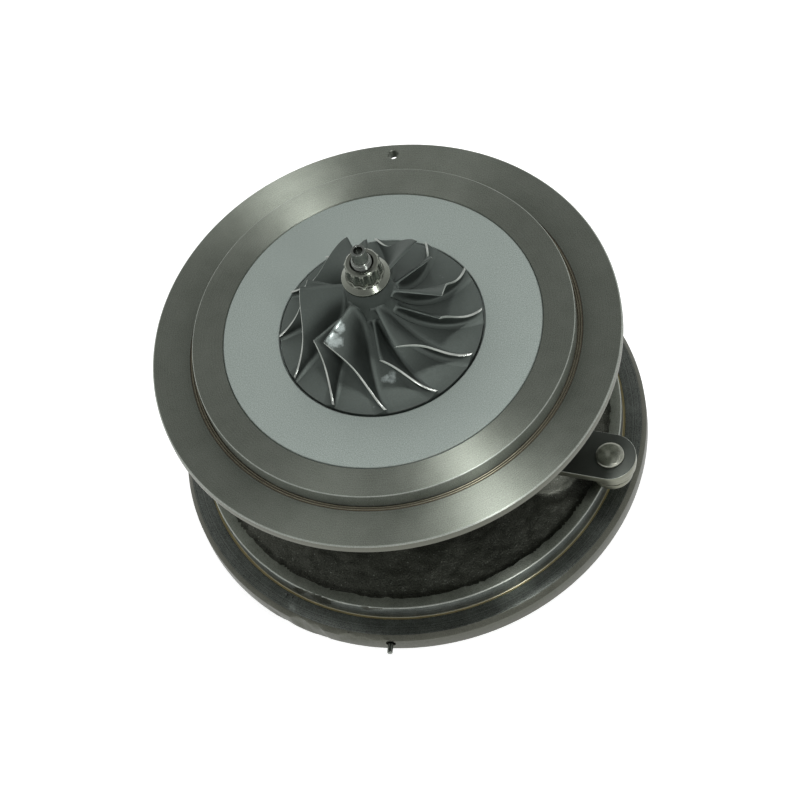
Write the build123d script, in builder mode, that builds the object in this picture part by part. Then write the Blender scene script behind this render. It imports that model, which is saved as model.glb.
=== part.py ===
from build123d import *
from math import cos, exp, radians, sin
import os

os.makedirs("parts", exist_ok=True)

# The rotor axis is Z with the compressor end up. The origin lies on it, in the
# plane of the compressor flange's outer face, and that flange's dowel hole lies
# towards +Y. All sizes are millimetres and degrees.

# Clearances
fit = 0.02            # between pieces pressed or located in each other
running = 0.04        # radial, between a shaft and its bearing
side_play = 0.15      # beside a thrust face or a ring in its groove
air_gap = 0.3         # round a rotating sleeve in its bore
wheel_gap = 0.6       # behind a bladed wheel and over the crank arm
screw_end_gap = 0.8   # left in a blind hole under the end of a screw or pin

# Compressor backplate
insert_r = 47.5
insert_edge = 0.3
spigot_wall = 9.3
spigot_h = 5.2
spigot_edge = 0.35
relief_w = 0.9
relief_d = 0.45
flange_land = 13.2
flange_t = 3.4
flange_edge = 0.55
clamp_lip = 2.5
clamp_t = 4.0
backplate_depth = 9.0
backplate_hub_step = 4.2
underside_fillet = 2.0
dowel_hole_r = 1.5
dowel_inset = 3.9

# Screws that hold the backplate to the housing
flange_screw_count = 4
flange_screw_r = 2.5
flange_screw_inset = 3.3
flange_screw_angle = 45.0
flange_screw_reach = 6.5
flange_screw_head_r = 4.25
flange_screw_head_h = 5.0
flange_screw_socket_r = 2.3
flange_screw_socket_d = 2.5
flange_screw_washer_r = 5.2
flange_screw_washer_t = 1.0

# Seal plate behind the compressor wheel
wheel_pocket_gap = 0.5
wheel_pocket_edge = 0.25
sleeve_bore_r = 8.1
plate_centre_t = 7.5
register_r = 36.0
register_wall = 4.0
register_h = 3.7
o_ring_r = 0.9
o_ring_groove_w = 2.34
insert_ring_rise = 2.7

# Centre housing
top_flange_t = 7.0
top_lug_r = 6.6
chamber_wall = 3.5
neck_top_fillet = 6.0
neck_foot_h = 12.0
neck_foot_w = 8.0
flange_spacing = 54.0
turbine_rim_r = 72.4
turbine_rim_t = 7.0
rim_top_chamfer = (1.3, 1.5)
rim_bottom_edge = 0.6
turbine_register_inset = 3.4
turbine_register_h = 2.5
turbine_register_edge = 0.5
ledge_inset = 7.1
ledge_h = 6.0
ledge_land = 3.3
ledge_relief = 0.5
crown_rise = 4.6
cage_hole_r = 2.1
cage_inset = 9.3
cage_hole_count = 3
cage_hole_angle = 30.0
cage_hole_depth = 6.0
lip_w = 2.6
recess_depth = 5.0
boss_r = 20.5
boss_h = 4.4
seal_land_l = 3.9
chamber_gap = 1.5
chamber_depth = 9.7
collar_pocket_r = 12.5
collar_pocket_depth = 5.3
bearing_r = 8.0
bearing_end_gap = 1.0
oil_end_r = 12.0
oil_end_h = 4.5
gallery_w = 13.0
gallery_y = 21.5

# Oil ports
inlet_y = 39.0
inlet_rise = 0.7
inlet_boss_r = 10.5
inlet_thread_r = 5.1
inlet_depth = 12.0
feed_r = 1.4
drain_y = 42.0
drain_rise = 1.8
drain_r = 7.5
drain_mouth_l = 20.0
drain_neck_r = 11.5
drain_flange_t = 8.0
drain_bolt_spacing = 34.0
drain_bolt_r = 2.5
drain_bolt_depth = 11.0
drain_ear_r = 6.5

# Rotor
stub_r = 3.0
journal_r = 5.0
thread_r = 2.9
thread_stand = 1.6
thread_edge = 0.4
tip_r = 2.0
tip_l = 4.2
tip_hole_r = 1.5
tip_hole_depth = 3.2
seal_hub_r = 8.2
seal_hub_l = 7.3
ring_t = 1.5
ring_w = 1.7
compressor_ring_drop = 4.0
collar_r = 10.5
collar_t = 3.15
collar_sleeve_r = 6.2
flinger_r = 13.0
flinger_t = 1.9
sleeve_seat_drop = 8.2

# Thrust bearing and its fixings
thrust_r = 24.0
thrust_t = 3.55
thrust_bore_r = 6.5
thrust_groove_w = 1.4
thrust_groove_d = 0.5
thrust_drain_gap = 2.0
thrust_screw_r = 1.5
thrust_screw_inset = 4.0
thrust_screw_head_r = 2.75
thrust_screw_head_h = 1.8
thrust_screw_reach = 4.2
deflector_t = 0.8
deflector_gap = 1.5

# Journal bearing and its pin
bearing_land_l = 8.0
bearing_waist = 0.8
bearing_hole_r = 0.9
pin_r = 1.5
pin_clearance = 0.12
pin_tip_r = 6.2
pin_sink = 1.0

# Compressor wheel
wheel_r = 30.0
wheel_rim_t = 1.2
wheel_rise = 0.3
wheel_exit_w = 2.0
wheel_h = 20.5
wheel_nose_l = 5.4
wheel_nose_r = 7.0
wheel_shroud_drop = 2.0
inducer_r = 21.0
wheel_boss_r = 9.5
wheel_cone_r = 13.0
blade_count = 6
blade_tip_t = 0.75
blade_root_t = 1.25
blade_root_inset = 0.9
blade_azimuth = 52.3
blade_lean = (5.0, 3.0)
inlet_twist = 20.6
inlet_twist_rate = 15.9
steady_twist = 0.25
splitter_start = 14.0
splitter_shift = -30.0

# Compressor nut
nut_flange_t = 2.1
nut_flange_r = 7.05
nut_flange_edge = 0.35
nut_point_r = 5.35
nut_h = 7.6
nut_corner = 0.75
nut_sink_r = 3.5

# Turbine wheel
turbine_r = 26.0
turbine_disc_t = 0.9
turbine_dish_r = 16.0
turbine_dish_d = 0.5
turbine_inlet_w = 7.5
turbine_gap = 0.7
exducer_r = 22.5
turbine_axial = 22.5
turbine_nose_r = 6.8
turbine_nose_h = 1.3
turbine_nose_edge = 1.0
turbine_hub_r = 8.0
turbine_hex_r = 5.6
turbine_hex_h = 3.6
turbine_blade_count = 10
turbine_blade_tip_t = 0.8
turbine_blade_root_t = 1.8
turbine_blade_inset = 1.2
turbine_twist = 46.0
turbine_twist_power = 1.8
scallop_r = 4.6
scallop_circle_r = 26.5
scallop_depth = 11.0

# Heat shield
shield_t = 0.8
shield_stand = 0.4
shield_bend_r = 0.64
shield_flange_w = 6.4
shield_bore_gap = 1.4

# Control lever and what it turns
pivot_r = 44.76
pivot_angle = -22.67
lever_angle = -14.2
lever_length = 22.0
lever_end_r = 7.8
lever_stand = 5.4
lever_t = 2.7
lever_edge = 0.4
lever_pad_r = 7.5
lever_pad_t = 2.0
lever_hub_r = 6.2
lever_hub_t = 0.5
lever_shaft_r = 4.0
lever_tenon_r = 3.0
tenon_head_r = 3.9
tenon_head_h = 0.9
tenon_head_taper = 25.0
lever_groove_d = 1.0
lever_ring_t = 1.3
lever_ring_rise = 3.0
lever_boss_r = 9.5
bush_wall = 2.0
lever_pin_r = 3.0
lever_pin_head_r = 4.3
lever_pin_head_h = 1.5
lever_pin_head_edge = 0.8
lever_pin_dimple_r = 2.15
lever_pin_dimple_d = 0.5
lever_pin_dimple_taper = 40.0
lever_pin_rivet_r = 3.6
lever_pin_rivet_taper = 20.0
pin_seam = 2.7
pin_seam_r = 4.2
pin_disc_r = 6.2
pin_disc_t = 1.8
pin_disc_edge = 0.3
crank_length = 10.0
crank_hub_r = 6.5
crank_end_r = 4.4
crank_t = 3.0
crank_pin_r = 2.5
crank_pin_reach = 3.6
crank_pin_edge = 0.4

# Locating pin in the turbine flange's rim
rim_pin_angle = -93.9
rim_pin_rise = 0.4
rim_pin_r = 0.85
rim_pin_edge = 0.4
rim_pin_stand = 3.3
rim_pin_depth = 6.0
rim_pin_sink_r = 1.5
rim_pin_sink_d = 0.8

# Radii worked out from the sizes above
spigot_r = insert_r + spigot_wall
flange_r = spigot_r + flange_land
clamp_r = insert_r + clamp_lip
backplate_hub_r = spigot_r + backplate_hub_step
dowel_circle_r = flange_r - dowel_inset
flange_screw_circle_r = spigot_r - flange_screw_inset
chamber_r = thrust_r + chamber_gap
neck_r = chamber_r + chamber_wall
ledge_r = turbine_rim_r - ledge_inset
turbine_register_r = turbine_rim_r - turbine_register_inset
recess_r = turbine_register_r - lip_w
cage_circle_r = ledge_r - cage_inset
thrust_screw_circle_r = thrust_r - thrust_screw_inset
deflector_bore_r = flinger_r + deflector_gap
wheel_pocket_r = wheel_r + wheel_pocket_gap
bush_r = lever_shaft_r + bush_wall
shield_bore_r = turbine_hub_r + shield_bore_gap

# Levels, from the joint of backplate and housing down to the turbine
joint_z = -backplate_depth
lug_z = joint_z - top_flange_t
register_floor_z = joint_z - register_h - air_gap
thrust_seat_z = joint_z - chamber_depth
thrust_top_z = thrust_seat_z + thrust_t
collar_top_z = thrust_seat_z - side_play
shoulder_z = collar_top_z - collar_t
flinger_z = thrust_top_z + side_play
collar_floor_z = thrust_seat_z - collar_pocket_depth
rim_top_z = -flange_spacing
rim_bottom_z = rim_top_z - turbine_rim_t
turbine_register_z = rim_bottom_z - turbine_register_h
ledge_z = rim_top_z + ledge_h
crown_z = ledge_z + crown_rise
recess_z = rim_bottom_z + recess_depth
boss_z = recess_z - boss_h
seal_land_z = boss_z + seal_land_l
oil_end_z = seal_land_z + oil_end_h
bearing_top_z = collar_floor_z - bearing_end_gap
bearing_bottom_z = oil_end_z + bearing_end_gap
bearing_mid_z = (bearing_top_z + bearing_bottom_z) / 2
neck_mid_z = (lug_z + crown_z) / 2
inlet_z = neck_mid_z + inlet_rise
drain_z = neck_mid_z + drain_rise
weld_z = boss_z - shield_stand
turbine_ring_z = (boss_z + seal_land_z) / 2
shield_face_z = boss_z - shield_t - shield_stand
turbine_back_z = shield_face_z - turbine_gap
turbine_rim_z = turbine_back_z - turbine_dish_d
turbine_exit_z = turbine_rim_z - turbine_disc_t - turbine_axial
turbine_nose_z = turbine_exit_z - turbine_nose_h
turbine_hex_z = turbine_nose_z - turbine_hex_h

# Levels of the compressor wheel, the nut and the shaft's end
sleeve_seat_z = spigot_h - sleeve_seat_drop
plate_bottom_z = sleeve_seat_z - plate_centre_t
compressor_ring_z = sleeve_seat_z - compressor_ring_drop
wheel_back_z = sleeve_seat_z + wheel_gap
wheel_exit_z = spigot_h + wheel_rise
wheel_pocket_z = wheel_exit_z - wheel_rim_t - wheel_gap
wheel_top_z = wheel_exit_z + wheel_h
wheel_shroud_z = wheel_top_z - wheel_shroud_drop
wheel_nose_z = wheel_top_z + wheel_nose_l
nut_top_z = wheel_nose_z + nut_h
thread_end_z = nut_top_z + thread_stand
shaft_end_z = thread_end_z + tip_l
insert_ring_z = joint_z + clamp_t + insert_ring_rise
register_ring_z = joint_z - register_h / 2

# Levels and places of the lever and the crank
lever_top_z = crown_z + lever_stand
lever_bottom_z = lever_top_z - lever_t
lever_shoulder_z = lever_bottom_z - lever_hub_t
lever_boss_z = lever_shoulder_z - air_gap
lever_ring_z = (lever_boss_z + recess_z) / 2 + lever_ring_rise
pin_disc_top_z = lever_bottom_z - lever_pad_t - pin_seam
pin_disc_bottom_z = pin_disc_top_z - pin_disc_t
crank_top_z = recess_z - wheel_gap
crank_bottom_z = crank_top_z - crank_t
crank_angle = pivot_angle + 180


def polar(radius, angle, z=0.0):
    """Point at a radius and an azimuth round the rotor axis."""
    return Vector(radius * cos(radians(angle)), radius * sin(radians(angle)), z)


def swung(origin, length, angle):
    """Point at a length and a direction from another point of the plan."""
    return origin + polar(length, angle)


def rings(part, radius, z=None):
    """Circular edges of this radius, at this height if one is given."""
    return part.edges().filter_by(GeomType.CIRCLE).filter_by(
        lambda e: abs(e.radius - radius) < 0.01 and (z is None or abs(e.center().Z - z) < 0.01)
    )


pivot = polar(pivot_r, pivot_angle)
pin_centre = swung(pivot, lever_length, lever_angle)
crank_end = swung(pivot, crank_length, crank_angle)


# Compressor backplate: turned flange ring with the spigot of the compressor
# housing above and the counterbore that clamps the seal plate below.
with BuildPart() as compressor_backplate:
    with BuildSketch(Plane.XZ):
        with BuildLine():
            Polyline(
                (insert_r, joint_z + clamp_t),
                (insert_r, spigot_h),
                (spigot_r, spigot_h),
                (spigot_r, -relief_d),
                (spigot_r + relief_w, -relief_d),
                (spigot_r + relief_w + relief_d, 0),
                (flange_r, 0),
                (flange_r, -flange_t),
                (backplate_hub_r, -flange_t),
                (backplate_hub_r, joint_z),
                (clamp_r, joint_z),
                (clamp_r, joint_z + clamp_t),
                close=True,
            )
        make_face()
    revolve(axis=Axis.Z)
    chamfer(compressor_backplate.faces().sort_by(Axis.Z)[-1].outer_wire().edges(), spigot_edge)
    chamfer(compressor_backplate.faces().sort_by(Axis.Z)[-1].inner_wires().edges(), insert_edge)
    chamfer(rings(compressor_backplate, flange_r), flange_edge)
    fillet(rings(compressor_backplate, backplate_hub_r, -flange_t), underside_fillet)
    with Locations((0, dowel_circle_r, 0)):
        Hole(dowel_hole_r)
    with Locations(Plane.XY.offset(joint_z)):
        with PolarLocations(flange_screw_circle_r, flange_screw_count, flange_screw_angle):
            Cylinder(
                flange_screw_r,
                flange_screw_reach + screw_end_gap,
                align=(Align.CENTER, Align.CENTER, Align.MIN),
                mode=Mode.SUBTRACT,
            )
compressor_backplate.part.label = "compressor_backplate"
export_step(compressor_backplate.part, "parts/compressor_backplate.step")

# Seal plate: the blasted disc round the compressor wheel, clamped between the
# backplate and the housing, with the pocket for the wheel's back.
with BuildPart() as seal_plate:
    with BuildSketch(Plane.XZ):
        with BuildLine():
            Polyline(
                (sleeve_bore_r, sleeve_seat_z),
                (wheel_cone_r, sleeve_seat_z),
                (wheel_pocket_r, wheel_pocket_z),
                (wheel_pocket_r, spigot_h),
                (insert_r - fit, spigot_h),
                (insert_r - fit, joint_z + clamp_t),
                (clamp_r - fit, joint_z + clamp_t),
                (clamp_r - fit, joint_z),
                (register_r - fit, joint_z),
                (register_r - fit, joint_z - register_h),
                (register_r - register_wall, joint_z - register_h),
                (register_r - register_wall, plate_bottom_z),
                (sleeve_bore_r, plate_bottom_z),
                close=True,
            )
        make_face()
    revolve(axis=Axis.Z)
    chamfer(seal_plate.faces().sort_by(Axis.Z)[-1].outer_wire().edges(), insert_edge)
    chamfer(seal_plate.faces().sort_by(Axis.Z)[-1].inner_wires().edges(), wheel_pocket_edge)
    for seat_r, groove_z in ((insert_r, insert_ring_z), (register_r, register_ring_z)):
        with BuildSketch(Plane.XZ):
            with Locations((seat_r, groove_z)):
                Rectangle(4 * o_ring_r + 2 * fit, o_ring_groove_w)
        revolve(axis=Axis.Z, mode=Mode.SUBTRACT)
seal_plate.part.label = "seal_plate"
export_step(seal_plate.part, "parts/seal_plate.step")

# O-rings in the two grooves of the seal plate.
with BuildPart() as seal_plate_o_ring:
    with BuildSketch(Plane.XZ):
        with Locations((insert_r - o_ring_r, insert_ring_z)):
            Circle(o_ring_r)
    revolve(axis=Axis.Z)
seal_plate_o_ring.part.label = "seal_plate_o_ring"
export_step(seal_plate_o_ring.part, "parts/seal_plate_o_ring.step")

with BuildPart() as housing_o_ring:
    with BuildSketch(Plane.XZ):
        with Locations((register_r - o_ring_r, register_ring_z)):
            Circle(o_ring_r)
    revolve(axis=Axis.Z)
housing_o_ring.part.label = "housing_o_ring"
export_step(housing_o_ring.part, "parts/housing_o_ring.step")

# Centre housing: one iron casting with the turbine flange, the neck round the
# bearing, the screw lugs, both oil ports and the lever's boss.
with BuildPart() as centre_housing:
    with BuildSketch(Plane.XZ):
        with BuildLine():
            neck_top = (neck_r, lug_z - neck_top_fillet)
            neck_foot = (neck_r, crown_z + neck_foot_h)
            l1 = Polyline(
                (0, joint_z),
                (clamp_r, joint_z),
                (clamp_r, lug_z),
                (neck_r + neck_top_fillet, lug_z),
            )
            l2 = TangentArc(l1 @ 1, neck_top, tangent=(-1, 0))
            l3 = Line(neck_top, neck_foot)
            l4 = TangentArc(neck_foot, (neck_r + neck_foot_w, crown_z), tangent=(0, -1))
            Polyline(
                l4 @ 1,
                (ledge_r - ledge_land, ledge_z - ledge_relief),
                (ledge_r - ledge_land, ledge_z),
                (ledge_r, ledge_z),
                (ledge_r, rim_top_z),
                (turbine_rim_r - rim_top_chamfer[0], rim_top_z),
                (turbine_rim_r, rim_top_z - rim_top_chamfer[1]),
                (turbine_rim_r, rim_bottom_z + rim_bottom_edge),
                (turbine_rim_r - rim_bottom_edge, rim_bottom_z),
                (turbine_register_r, rim_bottom_z),
                (turbine_register_r, turbine_register_z + turbine_register_edge),
                (turbine_register_r - turbine_register_edge, turbine_register_z),
                (recess_r, turbine_register_z),
                (recess_r, recess_z),
                (boss_r, recess_z),
                (boss_r, boss_z),
                (0, boss_z),
                (0, joint_z),
            )
        make_face()
    revolve(axis=Axis.Z)
    # Screw lugs round the top flange
    with BuildSketch(Plane.XY.offset(joint_z)):
        with PolarLocations(flange_screw_circle_r, flange_screw_count, flange_screw_angle):
            Circle(top_lug_r)
            with Locations((-top_lug_r, 0)):
                Rectangle(2 * top_lug_r, 2 * top_lug_r)
    extrude(amount=-top_flange_t)
    # Lever boss standing on the crown
    with BuildSketch(Plane.XY.offset(recess_z)):
        with Locations(pivot):
            Circle(lever_boss_r)
    extrude(amount=lever_boss_z - recess_z)
    # Oil inlet boss towards +Y
    with BuildSketch(Plane.XZ.offset(-inlet_y)):
        with Locations((0, inlet_z)):
            Circle(inlet_boss_r)
    extrude(amount=inlet_y - bearing_r)
    # Oil drain neck and its two-bolt flange towards -Y
    with BuildSketch(Plane.XZ.offset(drain_y)):
        with Locations((0, drain_z)):
            Circle(drain_neck_r)
    extrude(amount=-(drain_y - bearing_r))
    with BuildSketch(Plane.XZ.offset(drain_y)):
        with Locations((0, drain_z)):
            Circle(drain_neck_r)
        with Locations((-drain_bolt_spacing / 2, drain_z), (drain_bolt_spacing / 2, drain_z)):
            Circle(drain_ear_r)
        make_hull()
    extrude(amount=-drain_flange_t)
    # Bores on the rotor axis, from the top down
    with BuildSketch(Plane.XZ):
        with BuildLine():
            Polyline(
                (0, joint_z),
                (register_r, joint_z),
                (register_r, register_floor_z),
                (chamber_r, register_floor_z),
                (chamber_r, thrust_seat_z),
                (collar_pocket_r, thrust_seat_z),
                (collar_pocket_r, collar_floor_z),
                (bearing_r, collar_floor_z),
                (bearing_r, oil_end_z),
                (oil_end_r, oil_end_z),
                (oil_end_r, seal_land_z),
                (seal_hub_r + air_gap, seal_land_z),
                (seal_hub_r + air_gap, boss_z),
                (0, boss_z),
                close=True,
            )
        make_face()
    revolve(axis=Axis.Z, mode=Mode.SUBTRACT)
    # Gallery that drains both ends of the bearing
    with BuildSketch(Plane.XY.offset(thrust_seat_z)):
        with Locations((0, -gallery_y / 2)):
            Rectangle(gallery_w, gallery_y)
    extrude(amount=seal_land_z - thrust_seat_z, mode=Mode.SUBTRACT)
    for way_r, way_l in ((drain_r, drain_mouth_l), (gallery_w / 2, drain_y - bearing_r)):
        with BuildSketch(Plane.XZ.offset(drain_y)):
            with Locations((0, drain_z)):
                Circle(way_r)
        extrude(amount=-way_l, mode=Mode.SUBTRACT)
    # Threaded holes of the drain flange and of the inlet, and the feed drillings
    with BuildSketch(Plane.XZ.offset(drain_y)):
        with Locations((-drain_bolt_spacing / 2, drain_z), (drain_bolt_spacing / 2, drain_z)):
            Circle(drain_bolt_r)
    extrude(amount=-drain_bolt_depth, mode=Mode.SUBTRACT)
    with BuildSketch(Plane.XZ.offset(-inlet_y)):
        with Locations((0, inlet_z)):
            Circle(inlet_thread_r)
    extrude(amount=inlet_depth, mode=Mode.SUBTRACT)
    feed_start = Vector(0, inlet_y - inlet_depth, inlet_z)
    for land_z in (
        bearing_top_z - bearing_land_l / 2,
        bearing_bottom_z + bearing_land_l / 2,
    ):
        feed_end = Vector(0, journal_r, land_z)
        with BuildSketch(Plane(origin=feed_start, z_dir=feed_end - feed_start)):
            Circle(feed_r)
        extrude(amount=(feed_end - feed_start).length, mode=Mode.SUBTRACT)
    # Screw holes of the lugs
    with BuildSketch(Plane.XY.offset(joint_z)):
        with PolarLocations(flange_screw_circle_r, flange_screw_count, flange_screw_angle):
            Circle(flange_screw_r + side_play)
    extrude(amount=-top_flange_t, mode=Mode.SUBTRACT)
    # Thrust bearing screw holes
    with BuildSketch(Plane.XY.offset(thrust_seat_z)):
        with PolarLocations(thrust_screw_circle_r, 3, 90):
            Circle(thrust_screw_r)
    extrude(amount=-thrust_screw_reach - screw_end_gap, mode=Mode.SUBTRACT)
    # Threaded holes for the vane cage, in the turbine side recess
    with BuildSketch(Plane.XY.offset(recess_z)):
        with PolarLocations(cage_circle_r, cage_hole_count, cage_hole_angle):
            Circle(cage_hole_r)
    extrude(amount=cage_hole_depth, mode=Mode.SUBTRACT)
    # Bush bore, bearing pin hole and the rim pin's sunk hole
    with BuildSketch(Plane.XY.offset(recess_z)):
        with Locations(pivot):
            Circle(bush_r)
    extrude(amount=lever_boss_z - recess_z, mode=Mode.SUBTRACT)
    with BuildSketch(Plane.YZ.offset(-neck_r)):
        with Locations((0, bearing_mid_z)):
            Circle(pin_r)
    extrude(amount=neck_r - pin_tip_r, mode=Mode.SUBTRACT)
    rim_pin_plane = Plane(
        origin=polar(turbine_rim_r, rim_pin_angle, (rim_top_z + rim_bottom_z) / 2 + rim_pin_rise),
        z_dir=polar(1, rim_pin_angle),
    )
    with BuildSketch(rim_pin_plane):
        Circle(rim_pin_r)
    extrude(amount=-rim_pin_depth, mode=Mode.SUBTRACT)
    with BuildSketch(rim_pin_plane):
        Circle(rim_pin_sink_r)
    extrude(amount=-rim_pin_sink_d, mode=Mode.SUBTRACT)
centre_housing.part.label = "centre_housing"
export_step(centre_housing.part, "parts/centre_housing.step")

# Backplate screws with their washers, driven up through the lugs.
with BuildPart() as backplate_screws:
    head_z = lug_z - flange_screw_washer_t
    with PolarLocations(flange_screw_circle_r, flange_screw_count, flange_screw_angle):
        with Locations((0, 0, head_z)):
            Cylinder(
                flange_screw_r - fit,
                joint_z + flange_screw_reach - head_z,
                align=(Align.CENTER, Align.CENTER, Align.MIN),
            )
            Cylinder(
                flange_screw_washer_r,
                flange_screw_washer_t,
                align=(Align.CENTER, Align.CENTER, Align.MIN),
            )
            Cylinder(
                flange_screw_head_r,
                flange_screw_head_h,
                align=(Align.CENTER, Align.CENTER, Align.MAX),
            )
    with BuildSketch(Plane.XY.offset(head_z - flange_screw_head_h)):
        with PolarLocations(flange_screw_circle_r, flange_screw_count, flange_screw_angle):
            RegularPolygon(flange_screw_socket_r, 6)
    extrude(amount=flange_screw_socket_d, mode=Mode.SUBTRACT)
backplate_screws.part.label = "backplate_screws"
export_step(backplate_screws.part, "parts/backplate_screws.step")

# Journal bearing: one bronze sleeve with a land at each end and a waist that
# its pin enters.
with BuildPart() as journal_bearing:
    with BuildSketch(Plane.XZ):
        with BuildLine():
            waist_top_z = bearing_top_z - bearing_land_l
            waist_bottom_z = bearing_bottom_z + bearing_land_l
            outer_r = bearing_r - running
            inner_r = journal_r + running
            Polyline(
                (inner_r, bearing_top_z),
                (outer_r, bearing_top_z),
                (outer_r, waist_top_z),
                (outer_r - bearing_waist, waist_top_z),
                (outer_r - bearing_waist, waist_bottom_z),
                (outer_r, waist_bottom_z),
                (outer_r, bearing_bottom_z),
                (inner_r, bearing_bottom_z),
                (inner_r, waist_bottom_z),
                (inner_r + bearing_waist / 2, waist_bottom_z),
                (inner_r + bearing_waist / 2, waist_top_z),
                (inner_r, waist_top_z),
                close=True,
            )
        make_face()
    revolve(axis=Axis.Z)
    for land_z in (
        bearing_top_z - bearing_land_l / 2,
        bearing_bottom_z + bearing_land_l / 2,
    ):
        for hole_angle in (90, 210, 330):
            with BuildSketch(Plane(origin=(0, 0, land_z), z_dir=polar(1, hole_angle))):
                Circle(bearing_hole_r)
            extrude(amount=bearing_r, mode=Mode.SUBTRACT)
    with BuildSketch(Plane.YZ.offset(-bearing_r)):
        with Locations((0, bearing_mid_z)):
            Circle(pin_r + pin_clearance)
    extrude(amount=bearing_r, mode=Mode.SUBTRACT)
journal_bearing.part.label = "journal_bearing"
export_step(journal_bearing.part, "parts/journal_bearing.step")

# Bearing pin, pressed in from the neck so that the bearing can't turn.
with BuildPart() as bearing_pin:
    with BuildSketch(Plane.YZ.offset(-neck_r + pin_sink)):
        with Locations((0, bearing_mid_z)):
            Circle(pin_r - fit)
    extrude(amount=neck_r - pin_sink - pin_tip_r)
bearing_pin.part.label = "bearing_pin"
export_step(bearing_pin.part, "parts/bearing_pin.step")

# Thrust bearing: a bronze disc with oil grooves, cut away above the drain.
with BuildPart() as thrust_bearing:
    with BuildSketch(Plane.XY.offset(thrust_seat_z)):
        Circle(thrust_r)
        Circle(thrust_bore_r, mode=Mode.SUBTRACT)
        with PolarLocations(thrust_screw_circle_r, 3, 90):
            Circle(thrust_screw_r + side_play, mode=Mode.SUBTRACT)
        with Locations((0, -thrust_r)):
            Circle(thrust_r - collar_r - thrust_drain_gap, mode=Mode.SUBTRACT)
    extrude(amount=thrust_t)
    for groove_z, side in ((thrust_seat_z, 1), (thrust_top_z, -1)):
        with BuildSketch(Plane.XY.offset(groove_z)):
            with PolarLocations(collar_sleeve_r, 6):
                Rectangle(
                    collar_r - collar_sleeve_r,
                    thrust_groove_w,
                    align=(Align.MIN, Align.CENTER),
                )
        extrude(amount=side * thrust_groove_d, mode=Mode.SUBTRACT)
thrust_bearing.part.label = "thrust_bearing"
export_step(thrust_bearing.part, "parts/thrust_bearing.step")

# Oil deflector: a sheet ring on the thrust bearing, round the flinger.
with BuildPart() as oil_deflector:
    with BuildSketch(Plane.XY.offset(thrust_top_z)):
        Circle(thrust_r)
        Circle(deflector_bore_r, mode=Mode.SUBTRACT)
        with PolarLocations(thrust_screw_circle_r, 3, 90):
            Circle(thrust_screw_r + side_play, mode=Mode.SUBTRACT)
        with Locations((0, -thrust_r)):
            Circle(thrust_r - collar_r - thrust_drain_gap, mode=Mode.SUBTRACT)
    extrude(amount=deflector_t)
oil_deflector.part.label = "oil_deflector"
export_step(oil_deflector.part, "parts/oil_deflector.step")

# Screws of the thrust bearing.
with BuildPart() as thrust_bearing_screws:
    with PolarLocations(thrust_screw_circle_r, 3, 90):
        with Locations((0, 0, thrust_top_z + deflector_t)):
            Cylinder(
                thrust_screw_head_r,
                thrust_screw_head_h,
                align=(Align.CENTER, Align.CENTER, Align.MIN),
            )
            Cylinder(
                thrust_screw_r - fit,
                deflector_t + thrust_t + thrust_screw_reach,
                align=(Align.CENTER, Align.CENTER, Align.MAX),
            )
thrust_bearing_screws.part.label = "thrust_bearing_screws"
export_step(thrust_bearing_screws.part, "parts/thrust_bearing_screws.step")

# Split seal rings, sprung into their bores and standing still in the grooves of
# the turning sleeves.
with BuildPart() as compressor_seal_ring:
    with BuildSketch(Plane.XY.offset(compressor_ring_z - ring_t / 2)):
        Circle(sleeve_bore_r - fit)
        Circle(sleeve_bore_r - ring_w, mode=Mode.SUBTRACT)
        with Locations((0, sleeve_bore_r)):
            Rectangle(side_play, 3 * ring_w, mode=Mode.SUBTRACT)
    extrude(amount=ring_t)
compressor_seal_ring.part.label = "compressor_seal_ring"
export_step(compressor_seal_ring.part, "parts/compressor_seal_ring.step")

with BuildPart() as turbine_seal_ring:
    with BuildSketch(Plane.XY.offset(turbine_ring_z - ring_t / 2)):
        Circle(seal_hub_r + air_gap - fit)
        Circle(seal_hub_r + air_gap - ring_w, mode=Mode.SUBTRACT)
        with Locations((0, seal_hub_r + air_gap)):
            Rectangle(side_play, 3 * ring_w, mode=Mode.SUBTRACT)
    extrude(amount=ring_t)
turbine_seal_ring.part.label = "turbine_seal_ring"
export_step(turbine_seal_ring.part, "parts/turbine_seal_ring.step")

# Heat shield: a pressed dish over the turbine side boss.
with BuildPart() as heat_shield:
    with BuildSketch(Plane.XZ):
        with BuildLine():
            inner_wall = boss_r + air_gap
            outer_wall = inner_wall + shield_t
            shield_inner_z = shield_face_z + shield_t
            Polyline(
                (shield_bore_r, shield_inner_z),
                (inner_wall, shield_inner_z),
                (inner_wall, recess_z),
                (inner_wall + shield_flange_w + shield_t, recess_z),
                (inner_wall + shield_flange_w + shield_t, recess_z - shield_t),
                (outer_wall, recess_z - shield_t),
                (outer_wall, shield_face_z),
                (shield_bore_r, shield_face_z),
                close=True,
            )
        make_face()
    revolve(axis=Axis.Z)
    fillet(rings(heat_shield, outer_wall, shield_face_z), shield_bend_r)
heat_shield.part.label = "heat_shield"
export_step(heat_shield.part, "parts/heat_shield.step")

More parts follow.
